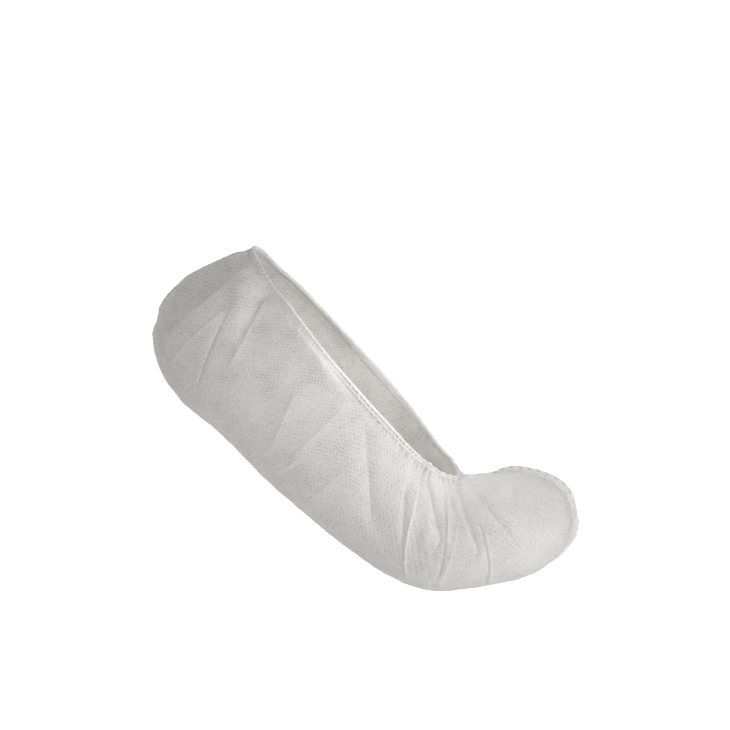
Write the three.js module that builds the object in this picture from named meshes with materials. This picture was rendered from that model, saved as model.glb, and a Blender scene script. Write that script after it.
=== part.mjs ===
// Disposable sock of thin non-woven cloth in its worn form: heel raised, toe down.
// Millimetres, +Z up, +X towards the toe, +Y towards the far side.
// The origin is the middle of the opening for the foot.
import * as THREE from "three";

// Driving sizes
const WALL = 1.0;
const SOLE_SQUARENESS = 2.35;
const SIDE_ROWS = 17;
const OUTLINE_STEPS = 60;
const CORNER_EASE = 0.2;
const FAR_FOLDS = { slide: -5, scale: 0.85 };
const HEM = { height: 3.1, thickness: 1.8, groove: 0.4, heelStep: 2, clearance: 0.35 };
const SEAM = { thickness: 1.2, spacing: 2.8, clearance: 0.55 };

// One row per section of the sock, from the top of the heel to the tip of the toe.
// A section is a plane across the sock from a point of the sole line to a point of the upper line.
// solex, solez: where it meets the heel and sole line; topx, topz: where it meets the upper line.
// half: largest half width; mouth: half width at the upper line, zero where the sock is closed.
// belly: share of the depth at which it is widest; sweep: degrees turned from the sole to there.
// columns: mesh columns to the next row.
const section = (name, solex, solez, topx, topz, half, mouth, belly, sweep, columns) => (
  { name, solex, solez, topx, topz, half, mouth, belly, sweep, columns }
);
const SECTIONS = [
  // name, solex, solez, topx, topz, half, mouth, belly, sweep, columns
  section("heel_top", -50.5, 50, -44.5, 43.2, 13.5, 13.5, 1, 35, 2),
  section("heel_upper", -60.5, 45.8, -40.5, 38.6, 18.2, 18, 1, 62, 2),
  section("heel_facet", -72.5, 39.6, -35.5, 32.9, 23, 21.8, 0.85, 85, 2),
  section("heel_corner", -83, 32.4, -29.5, 26, 26.8, 24.8, 0.7, 90, 2),
  section("heel_back", -90.7, 22.8, -23, 18.6, 29.4, 27, 0.6, 90, 2),
  section("heel_middle", -93.3, 11, -16, 10.7, 31, 28.7, 0.53, 90, 3),
  section("heel_low", -90.5, -4, -8, 1.7, 32.2, 29.8, 0.49, 90, 3),
  section("heel_sole", -80.4, -19.3, 0, -7.3, 33.2, 30.3, 0.46, 90, 3),
  section("waist", -63.7, -32.1, 8.5, -16.8, 34.4, 30, 0.45, 90, 5),
  section("mid_back", -44.8, -49.6, 17.3, -26.3, 36.2, 29, 0.44, 90, 5),
  section("middle", -24.9, -66.8, 25.3, -35.2, 38.3, 27, 0.44, 90, 5),
  section("mid_front", -3.4, -82.6, 33.2, -42.7, 40.6, 23.5, 0.43, 90, 4),
  section("ball_back", 14.3, -93.5, 39.2, -47.6, 42.5, 18.5, 0.43, 90, 4),
  section("ball", 27.8, -99.4, 44.2, -50.6, 43.5, 11.5, 0.43, 90, 4),
  section("throat", 40, -100.5, 48, -51.2, 44, 0, 0.43, 90, 4),
  section("instep", 52, -99.4, 55.6, -50.4, 43.6, 0, 0.44, 90, 4),
  section("toe_back", 65.5, -96.8, 65.5, -48.7, 42.5, 0, 0.46, 90, 3),
  section("toe_top", 77, -93.6, 75, -48.7, 39.5, 0, 0.48, 90, 3),
  section("toe_shoulder", 84.8, -89.6, 83, -50.7, 34.5, 0, 0.5, 90, 2),
  section("toe_cap", 90.5, -84.2, 90, -54.2, 27.5, 0, 0.5, 90, 2),
  section("toe_front", 94.6, -77.8, 94.3, -59.7, 18, 0, 0.5, 90, 2),
  section("toe_tip", 96.8, -69.5, 96.8, -69.5, 0, 0, 0.5, 90, 0),
];

// One row per fold of the cloth, laid out in the side view.
// fromx, fromz to tox, toz: its run; bow: sideways bend of the run; width: half width; height: out or in.
const FOLDS = [
  { name: "heel_valley", fromx: -51, fromz: 42, tox: -76, toz: 25, bow: 1, width: 5, height: -1.8 },
  { name: "heel_shoulder", fromx: -59, fromz: 47, tox: -84, toz: 31, bow: 0, width: 6, height: 1.2 },
  { name: "heel_line", fromx: -52.5, fromz: 23.5, tox: -84, toz: 1, bow: -1, width: 4.5, height: 1.0 },
  { name: "heel_drop", fromx: -55, fromz: 22, tox: -69, toz: -12, bow: 1.5, width: 4.5, height: 0.9 },
  { name: "heel_pocket", fromx: -39.5, fromz: 29, tox: -51, toz: 3, bow: 1, width: 4.5, height: -1.5 },
  { name: "heel_ridge", fromx: -44.5, fromz: 36, tox: -56, toz: 10, bow: 1, width: 4.5, height: 1.2 },
  { name: "mid_ridge", fromx: -22.5, fromz: -7, tox: -36, toz: -42, bow: 1.5, width: 5.5, height: 1.2 },
  { name: "mid_crease", fromx: 3, fromz: -14, tox: -26, toz: -37, bow: -1.5, width: 5, height: 1.5 },
  { name: "mid_line", fromx: 3, fromz: -33, tox: -16, toz: -58, bow: -1, width: 4.5, height: 0.9 },
  { name: "swell_top", fromx: 2.5, fromz: -21, tox: 7, toz: -46, bow: 1, width: 5.5, height: 1.9 },
  { name: "swell_foot", fromx: 7, fromz: -40, tox: 18, toz: -84, bow: 4, width: 5.5, height: 2.1 },
  { name: "dent", fromx: 15, fromz: -33, tox: 19, toz: -68, bow: 0, width: 5, height: -2.2 },
  { name: "gather_one", fromx: 27, fromz: -37, tox: 26, toz: -92, bow: 0, width: 4, height: 2.2 },
  { name: "gather_two", fromx: 33.5, fromz: -41, tox: 33, toz: -82, bow: 0, width: 3.4, height: -1.8 },
  { name: "gather_four", fromx: 45, fromz: -48, tox: 39.5, toz: -97, bow: 3, width: 3.8, height: 2.2 },
  { name: "gather_five", fromx: 51.5, fromz: -53.5, tox: 54, toz: -84, bow: -1, width: 3.4, height: -1.8 },
  { name: "gather_six", fromx: 56, fromz: -56, tox: 63, toz: -97, bow: -3, width: 4, height: 1.8 },
  { name: "gather_seven", fromx: 57, fromz: -50.5, tox: 77, toz: -76, bow: -2, width: 4, height: -1.3 },
  { name: "gather_eight", fromx: 62, fromz: -49.5, tox: 86, toz: -67, bow: -2, width: 4.5, height: 1.1 },
];

// Stand of the overlocked edge above the cloth, a row per point along its run.
const TOE_STAND = [
  { at: 0, stand: 0.9 },
  { at: 0.14, stand: 2.9 },
  { at: 0.45, stand: 3.1 },
  { at: 0.62, stand: 2.5 },
  { at: 0.72, stand: 3.1 },
  { at: 0.88, stand: 2.4 },
  { at: 1, stand: 0.8 },
];
const HEEL_STAND = [
  { at: 0, stand: 0.8 },
  { at: 0.15, stand: 2.3 },
  { at: 0.37, stand: 2.5 },
  { at: 0.44, stand: 0.8 },
  { at: 0.5, stand: 1.6 },
  { at: 0.7, stand: 1.2 },
  { at: 1, stand: 0.8 },
];

const rowOf = (name) => SECTIONS.findIndex((row) => row.name === name);
const smooth = (t) => {
  const s = Math.min(1, Math.max(0, t));
  return s * s * (3 - 2 * s);
};
const mix = (a, b, t) => a + (b - a) * t;

// Smooth curve through one column of the section table, read at a section number with a fraction.
function column(key, at) {
  const last = SECTIONS.length - 1;
  const index = Math.min(last - 1, Math.max(0, Math.floor(at)));
  const t = at - index;
  const value = (row) => SECTIONS[Math.min(last, Math.max(0, row))][key];
  const a = value(index - 1);
  const b = value(index);
  const c = value(index + 1);
  const d = value(index + 2);
  const slopeIn = (c - a) / 2;
  const slopeOut = (d - b) / 2;
  const t2 = t * t;
  const t3 = t2 * t;
  return (2 * t3 - 3 * t2 + 1) * b + (t3 - 2 * t2 + t) * slopeIn
    + (3 * t2 - 2 * t3) * c + (t3 - t2) * slopeOut;
}

const THROAT = rowOf("throat");
const TIP = rowOf("toe_tip");

// Half outline of one section from the sole line to the upper line, with the length run so far.
const outlines = new Map();
function halfOutline(at) {
  if (outlines.has(at)) return outlines.get(at);
  const half = Math.max(0, column("half", at));
  const mouth = at >= THROAT ? 0 : Math.min(half, Math.max(0, column("mouth", at)));
  const belly = Math.min(1, column("belly", at));
  const sweep = Math.min(90, column("sweep", at)) * Math.PI / 180;
  const sole = new THREE.Vector2(column("solex", at), column("solez", at));
  const top = new THREE.Vector2(column("topx", at), column("topz", at));
  const deep = sole.distanceTo(top);
  const power = 2 / SOLE_SQUARENESS;
  const rise = 1 - Math.max(0, Math.cos(sweep)) ** power;
  const lean = half > 0 ? Math.acos(Math.min(1, mouth / half)) : Math.PI / 2;
  const list = [];
  const put = (y, depth) => {
    const before = list[list.length - 1];
    const run = before ? before.run + Math.hypot(y - before.y, (depth - before.depth) * deep) : 0;
    list.push({ y, depth, run });
  };
  for (let k = 0; k <= OUTLINE_STEPS; k += 1) {
    const angle = sweep * k / OUTLINE_STEPS;
    const y = half * (Math.sin(angle) / Math.sin(sweep)) ** power;
    put(y, belly * (1 - Math.max(0, Math.cos(angle)) ** power) / rise);
  }
  if (belly < 1 && lean > 1e-3) {
    for (let k = 1; k <= OUTLINE_STEPS; k += 1) {
      const angle = lean * k / OUTLINE_STEPS;
      put(half * Math.cos(angle), belly + (1 - belly) * Math.sin(angle) / Math.sin(lean));
    }
  }
  const outline = { list, sole, top };
  outlines.set(at, outline);
  return outline;
}

// Point of the smooth form: at is the section number, across runs from -1 (near) over the sole to 1 (far).
function formPoint(at, across) {
  const { list, sole, top } = halfOutline(at);
  const run = Math.abs(across) * list[list.length - 1].run;
  let low = 0;
  let high = list.length - 1;
  while (high - low > 1) {
    const middle = (low + high) >> 1;
    if (list[middle].run <= run) low = middle;
    else high = middle;
  }
  const gap = list[high].run - list[low].run;
  const t = gap > 0 ? (run - list[low].run) / gap : 0;
  const depth = mix(list[low].depth, list[high].depth, t);
  const y = mix(list[low].y, list[high].y, t);
  return new THREE.Vector3(mix(sole.x, top.x, depth), Math.sign(across) * y, mix(sole.y, top.y, depth));
}

// Outward direction of the smooth form.
function formNormal(at, across) {
  const step = 0.02;
  const a = Math.min(TIP - 0.06, Math.max(0.06, at));
  const limit = 0.98 - CORNER_EASE * smooth(1 - at);
  const b = Math.min(limit, Math.max(-limit, across));
  const along = formPoint(a + step, b).sub(formPoint(a - step, b));
  const round = formPoint(a, b + step).sub(formPoint(a, b - step));
  const normal = round.cross(along);
  if (at >= THROAT && Math.abs(across) === 1) normal.setY(0);
  return normal.normalize();
}

// Height of the folds over a point of the smooth form.
function foldHeight(point) {
  const far = point.y > 0;
  const x = point.x - (far ? FAR_FOLDS.slide : 0);
  const scale = far ? FAR_FOLDS.scale : 1;
  const sideways = smooth(Math.abs(point.y) / 14);
  let height = 0;
  for (const fold of FOLDS) {
    const runx = fold.tox - fold.fromx;
    const runz = fold.toz - fold.fromz;
    const length = Math.hypot(runx, runz);
    const ux = runx / length;
    const uz = runz / length;
    const dx = x - fold.fromx;
    const dz = point.z - fold.fromz;
    const t = (dx * ux + dz * uz) / length;
    if (t < -0.1 || t > 1.1) continue;
    const bend = fold.bow * 4 * t * (1 - t);
    const off = (dx * -uz + dz * ux - bend) / fold.width;
    const ends = smooth((t + 0.1) / 0.25) * smooth((1.1 - t) / 0.35);
    height += fold.height * Math.exp(-off * off) * ends;
  }
  return height * scale * sideways;
}

// Point of the cloth; depth is how far below its outer face.
function clothPoint(at, across, depth) {
  const point = formPoint(at, across);
  const height = foldHeight(point);
  return point.addScaledVector(formNormal(at, across), height - depth);
}

// Mesh builder that shares corners and leaves out empty faces
class Shell {
  constructor() {
    this.points = [];
    this.faces = [];
  }

  add(point) {
    this.points.push(point.x, point.y, point.z);
    return this.points.length / 3 - 1;
  }

  face(a, b, c) {
    if (a !== b && b !== c && c !== a) this.faces.push(a, b, c);
  }

  apart(a, b) {
    return Math.hypot(...[0, 1, 2].map((k) => this.points[3 * a + k] - this.points[3 * b + k]));
  }

  quad(a, b, c, d) {
    if (this.apart(b, d) < this.apart(a, c)) {
      this.face(a, b, d);
      this.face(b, c, d);
    } else {
      this.face(a, b, c);
      this.face(a, c, d);
    }
  }

  mesh(name, colour, roughness) {
    const geometry = new THREE.BufferGeometry();
    geometry.setAttribute("position", new THREE.Float32BufferAttribute(this.points, 3));
    geometry.setIndex(this.faces);
    geometry.computeVertexNormals();
    const material = new THREE.MeshStandardMaterial({ color: colour, roughness, metalness: 0 });
    material.name = `${name}_cloth`;
    const mesh = new THREE.Mesh(geometry, material);
    mesh.name = name;
    return mesh;
  }
}

// Section numbers of the mesh columns and places across of its rows
const COLUMNS = SECTIONS.flatMap(({ columns }, index) => Array.from(
  { length: columns },
  (_, i) => index + i / columns,
));
const ROWS = 2 * SIDE_ROWS;
const acrossOf = (row) => row / SIDE_ROWS - 1;
const OPEN_COLUMNS = COLUMNS.filter((at) => at <= THROAT).length;

// Places of the rim as column and row of the mesh.
// The loop starts at the throat, runs along the near side, round the heel and back along the far side.
function rimPlaces(heelStep) {
  const places = [];
  for (let i = OPEN_COLUMNS - 1; i > 0; i -= 1) places.push({ i, j: 0 });
  for (let j = 0; j <= ROWS; j += heelStep) places.push({ i: 0, j });
  for (let i = 1; i < OPEN_COLUMNS - 1; i += 1) places.push({ i, j: ROWS });
  return places;
}

// The folded sheet: outer face, inner face and the cut edge round the opening
function buildBody() {
  const shell = new Shell();
  const layer = (depth) => {
    const grid = COLUMNS.map((at) => {
      const line = [];
      for (let j = 0; j <= ROWS; j += 1) {
        const closing = at >= THROAT && j === ROWS;
        line.push(closing ? line[0] : shell.add(clothPoint(at, acrossOf(j), depth)));
      }
      return line;
    });
    const pole = shell.add(new THREE.Vector3(SECTIONS[TIP].solex - depth, 0, SECTIONS[TIP].solez));
    return { grid, pole };
  };
  const skin = ({ grid, pole }, flip) => {
    const put = (a, b, c, d) => (flip ? shell.quad(a, b, c, d) : shell.quad(d, c, b, a));
    const last = COLUMNS.length - 1;
    for (let j = 0; j < ROWS; j += 1) {
      for (let i = 0; i < last; i += 1) put(grid[i][j], grid[i + 1][j], grid[i + 1][j + 1], grid[i][j + 1]);
      put(grid[last][j], pole, pole, grid[last][j + 1]);
    }
  };
  const outer = layer(0);
  const inner = layer(WALL);
  skin(outer, false);
  skin(inner, true);
  const rim = rimPlaces(1);
  rim.forEach((place, k) => {
    const next = rim[(k + 1) % rim.length];
    shell.quad(
      outer.grid[place.i][place.j],
      inner.grid[place.i][place.j],
      inner.grid[next.i][next.j],
      outer.grid[next.i][next.j],
    );
  });
  return shell.mesh("sock_body", 0xecebe7, 0.9);
}

// Even points along a line of points
function resample(points, spacing) {
  const curve = new THREE.CatmullRomCurve3(points, false, "centripetal");
  curve.arcLengthDivisions = 1200;
  return curve.getSpacedPoints(Math.round(curve.getLength() / spacing));
}

// Loft a closed profile along a list of frames; each frame gives the corners of its profile
function loft(shell, profiles, closed) {
  const rings = profiles.map((profile) => profile.map((point) => shell.add(point)));
  const sides = rings[0].length;
  const spans = closed ? rings.length : rings.length - 1;
  for (let i = 0; i < spans; i += 1) {
    const a = rings[i];
    const b = rings[(i + 1) % rings.length];
    for (let j = 0; j < sides; j += 1) {
      const k = (j + 1) % sides;
      shell.quad(a[j], b[j], b[k], a[k]);
    }
  }
  if (!closed) {
    for (let j = 1; j + 1 < sides; j += 1) {
      shell.face(rings[0][0], rings[0][j], rings[0][j + 1]);
      const end = rings[rings.length - 1];
      shell.face(end[0], end[j + 1], end[j]);
    }
  }
}

// The elastic hem: two rounded ridges with a groove between them, standing on the cut edge
function buildHem() {
  const shell = new Shell();
  const rim = rimPlaces(HEM.heelStep);
  const points = rim.map(({ i, j }) => clothPoint(COLUMNS[i], acrossOf(j), WALL / 2));
  const count = points.length;
  const profiles = points.map((point, k) => {
    const along = points[(k + 1) % count].clone().sub(points[(k + count - 1) % count]).normalize();
    const normal = formNormal(COLUMNS[rim[k].i], acrossOf(rim[k].j));
    const up = new THREE.Vector3().crossVectors(along, normal).normalize();
    const out = new THREE.Vector3().crossVectors(along, up).normalize();
    const h = HEM.height;
    const t = HEM.thickness / 2;
    const corners = [
      [-t * 0.75, 0], [t * 0.75, 0], [t, h * 0.25], [t - HEM.groove, h * 0.5], [t, h * 0.75],
      [t * 0.6, h], [-t * 0.6, h], [-t, h * 0.75], [-t + HEM.groove, h * 0.5], [-t, h * 0.25],
    ];
    const foot = point.clone().addScaledVector(up, HEM.clearance);
    return corners.map(([o, u]) => foot.clone().addScaledVector(out, o).addScaledVector(up, u));
  });
  loft(shell, profiles, true);
  return shell.mesh("opening_hem", 0xf1f0ec, 0.85);
}

// Height of a stand table at a share of its run
function standAt(table, share) {
  let k = 0;
  while (k + 2 < table.length && table[k + 1].at < share) k += 1;
  const a = table[k];
  const b = table[k + 1];
  return mix(a.stand, b.stand, smooth((share - a.at) / (b.at - a.at)));
}

// An overlocked edge: a thin strip in the middle plane that stands on the cloth
function buildSeam(name, places, table) {
  const shell = new Shell();
  const line = places.map(([at, across]) => (at >= TIP
    ? new THREE.Vector3(SECTIONS[TIP].solex, 0, SECTIONS[TIP].solez)
    : clothPoint(at, across, 0)));
  line.forEach((point) => point.setY(0));
  const points = resample(line, SEAM.spacing);
  const last = points.length - 1;
  const profiles = points.map((point, i) => {
    const along = points[Math.min(last, i + 1)].clone().sub(points[Math.max(0, i - 1)]).normalize();
    const out = new THREE.Vector3(-along.z, 0, along.x);
    const stand = standAt(table, i / last);
    const t = SEAM.thickness / 2;
    const corners = [[-t, 0], [-t, stand * 0.7], [0, stand], [t, stand * 0.7], [t, 0]];
    return corners.map(([y, u]) => point.clone().addScaledVector(out, u + SEAM.clearance).setY(y));
  });
  loft(shell, profiles, false);
  return shell.mesh(name, 0xf0efea, 0.9);
}

// Places of the toe seam: over the top from the throat, round the tip and back under the toe
function toePlaces() {
  const places = [];
  for (let i = 0; i <= 20; i += 1) places.push([mix(THROAT + 1.35, TIP - 0.2, i / 20), 1]);
  places.push([TIP, 0]);
  for (let i = 0; i <= 8; i += 1) places.push([mix(TIP - 0.2, rowOf("toe_shoulder") - 0.2, i / 8), 0]);
  return places;
}

// Places of the heel seam: up the middle of the heel to just below the hem
function heelPlaces() {
  const places = [];
  for (let i = 0; i <= 24; i += 1) places.push([mix(rowOf("heel_sole") + 0.1, 0.35, i / 24), 0]);
  return places;
}

const sock = new THREE.Group();
sock.name = "disposable_sock";
sock.add(buildBody());
sock.add(buildHem());
sock.add(buildSeam("toe_seam", toePlaces(), TOE_STAND));
sock.add(buildSeam("heel_seam", heelPlaces(), HEEL_STAND));
export default sock;
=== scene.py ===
"""Disposable non-woven sock in its worn form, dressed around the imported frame."""

from __future__ import annotations

import logging
import math
from dataclasses import dataclass
from enum import Enum
from typing import Sequence

import bmesh
import bpy
import numpy as np
from mathutils import Matrix, Vector, kdtree, noise

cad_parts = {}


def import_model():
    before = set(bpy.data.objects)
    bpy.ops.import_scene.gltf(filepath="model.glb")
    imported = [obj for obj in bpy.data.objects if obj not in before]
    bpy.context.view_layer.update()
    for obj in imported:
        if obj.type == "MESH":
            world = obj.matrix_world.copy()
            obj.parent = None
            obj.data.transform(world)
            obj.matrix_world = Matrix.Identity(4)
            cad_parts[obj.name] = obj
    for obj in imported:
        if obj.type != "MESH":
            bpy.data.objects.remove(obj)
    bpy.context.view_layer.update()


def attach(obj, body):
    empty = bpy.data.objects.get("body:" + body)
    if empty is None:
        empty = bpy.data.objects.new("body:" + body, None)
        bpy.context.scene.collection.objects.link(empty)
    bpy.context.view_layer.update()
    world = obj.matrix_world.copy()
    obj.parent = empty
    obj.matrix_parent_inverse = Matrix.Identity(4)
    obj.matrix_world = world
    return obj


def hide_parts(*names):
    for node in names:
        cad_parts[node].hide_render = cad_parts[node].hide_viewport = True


LOG = logging.getLogger("sock")
MM = 0.001
ROOT = "root"
# Angles of the picture and of the plane that the folds are laid out in, in degrees.
AZIMUTH = 10.0
ELEVATION = 8.0
# The far half of the flat cloth is laid out this far from the near half, in millimetres.
FAR_FLAT = 300.0
# Distance of the points along a seam, in metres.
SEAM_STEP = 0.0007
# Names of the maps that the cloth's finish reads.
FLAT_MAP = "flat_cloth"
# The pit map carries painted shade: in needle pits and holes, between puckers and stitches, and in the
# creases at seam bases.
PIT_SHADE_MAP = "pit"
# The doubled map whitens cloth that lies double or is gathered, and carries painted highlights along fold
# crests, pucker crests and the hem's edges.
DOUBLE_AND_HIGHLIGHT_MAP = "doubled_and_highlight"
SLANT_MAP = "slant"

Triple = tuple[float, float, float]
Rows = np.ndarray
Mesh = bmesh.types.BMesh
Vert = bmesh.types.BMVert
Piece = bpy.types.Object
Finish = bpy.types.Material
Socket = bpy.types.NodeSocket


class Slot(Enum):
    """Material slots of the record."""

    CLOTH = "nonwoven_cloth"
    HEM = "hem_cloth"
    SEAM = "seam_cloth"


@dataclass(frozen=True)
class Section:
    """One section across the sock, in millimetres.

    Attributes:
        name: place of the section.
        solex, solez: where it meets the heel and sole line.
        topx, topz: where it meets the upper line.
        half: largest half width.
        mouth: half width at the upper line, zero where the sock is closed.
        belly: share of the depth at which the section is widest.
        sweep: degrees turned from the sole line to the widest place.
        columns: mesh columns to the next section.
    """

    name: str
    solex: float
    solez: float
    topx: float
    topz: float
    half: float
    mouth: float
    belly: float
    sweep: float
    columns: int


SECTIONS: tuple[Section, ...] = (
    Section("heel_top", -50.5, 50, -44.5, 43.2, 13.5, 13.5, 1, 35, 4),
    Section("heel_upper", -60.5, 45.8, -40.5, 38.6, 18.2, 18, 1, 62, 6),
    Section("heel_facet", -72.5, 39.6, -35.5, 32.9, 23, 21.8, 0.85, 85, 6),
    Section("heel_corner", -83, 32.4, -29.5, 26, 26.8, 24.8, 0.7, 90, 6),
    Section("heel_back", -90.7, 22.8, -23, 18.6, 29.4, 27, 0.6, 90, 7),
    Section("heel_middle", -93.3, 11, -16, 10.7, 31, 28.7, 0.53, 90, 8),
    Section("heel_low", -90.5, -4, -8, 1.7, 32.2, 29.8, 0.49, 90, 8),
    Section("heel_sole", -80.4, -19.3, 0, -7.3, 33.2, 30.3, 0.46, 90, 8),
    Section("waist", -63.7, -32.1, 8.5, -16.8, 34.4, 30, 0.45, 90, 9),
    Section("mid_back", -44.8, -49.6, 17.3, -26.3, 36.2, 29, 0.44, 90, 9),
    Section("middle", -24.9, -66.8, 25.3, -35.2, 38.3, 27, 0.44, 90, 9),
    Section("mid_front", -3.4, -82.6, 33.2, -42.7, 40.6, 23.5, 0.43, 90, 9),
    Section("ball_back", 14.3, -93.5, 39.2, -47.6, 42.5, 18.5, 0.43, 90, 8),
    Section("ball", 27.8, -99.4, 44.2, -50.6, 43.5, 11.5, 0.43, 90, 8),
    Section("throat", 40, -100.5, 48, -51.2, 44, 0, 0.43, 90, 9),
    Section("instep", 52, -99.4, 55.6, -50.4, 43.6, 0, 0.44, 90, 9),
    Section("toe_back", 65.5, -96.8, 65.5, -48.7, 42.5, 0, 0.46, 90, 8),
    Section("toe_top", 77, -93.6, 75, -48.7, 39.5, 0, 0.48, 90, 6),
    Section("toe_shoulder", 84.8, -89.6, 83, -50.7, 34.5, 0, 0.5, 90, 6),
    Section("toe_cap", 90.5, -84.2, 90, -54.2, 27.5, 0, 0.5, 90, 6),
    Section("toe_front", 94.6, -77.8, 94.3, -59.7, 18, 0, 0.5, 90, 7),
    Section("toe_tip", 96.8, -69.5, 96.8, -69.5, 0, 0, 0.5, 90, 0),
)


@dataclass(frozen=True)
class Fold:
    """One fold of the cloth, laid out in millimetres in the view plane of the near side.

    Attributes:
        name: which fold it is.
        x0, z0: start, right of and above the middle of the opening.
        x1, z1: end.
        bow: sideways bend of the run, to the left of its direction.
        right, left: half widths on each side of its direction, the heel's and the toe's side where it falls.
        height: rise of a ridge, or depth of a valley as a negative number.
        crest: 2 for a soft crown, near 1 for a sharp crease.
        doubled_and_highlight: how much the cloth lies double along it, and how strong the painted highlight
            line along its crest is.
    """

    name: str
    x0: float
    z0: float
    x1: float
    z1: float
    bow: float
    right: float
    left: float
    height: float
    crest: float
    doubled_and_highlight: float


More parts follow.
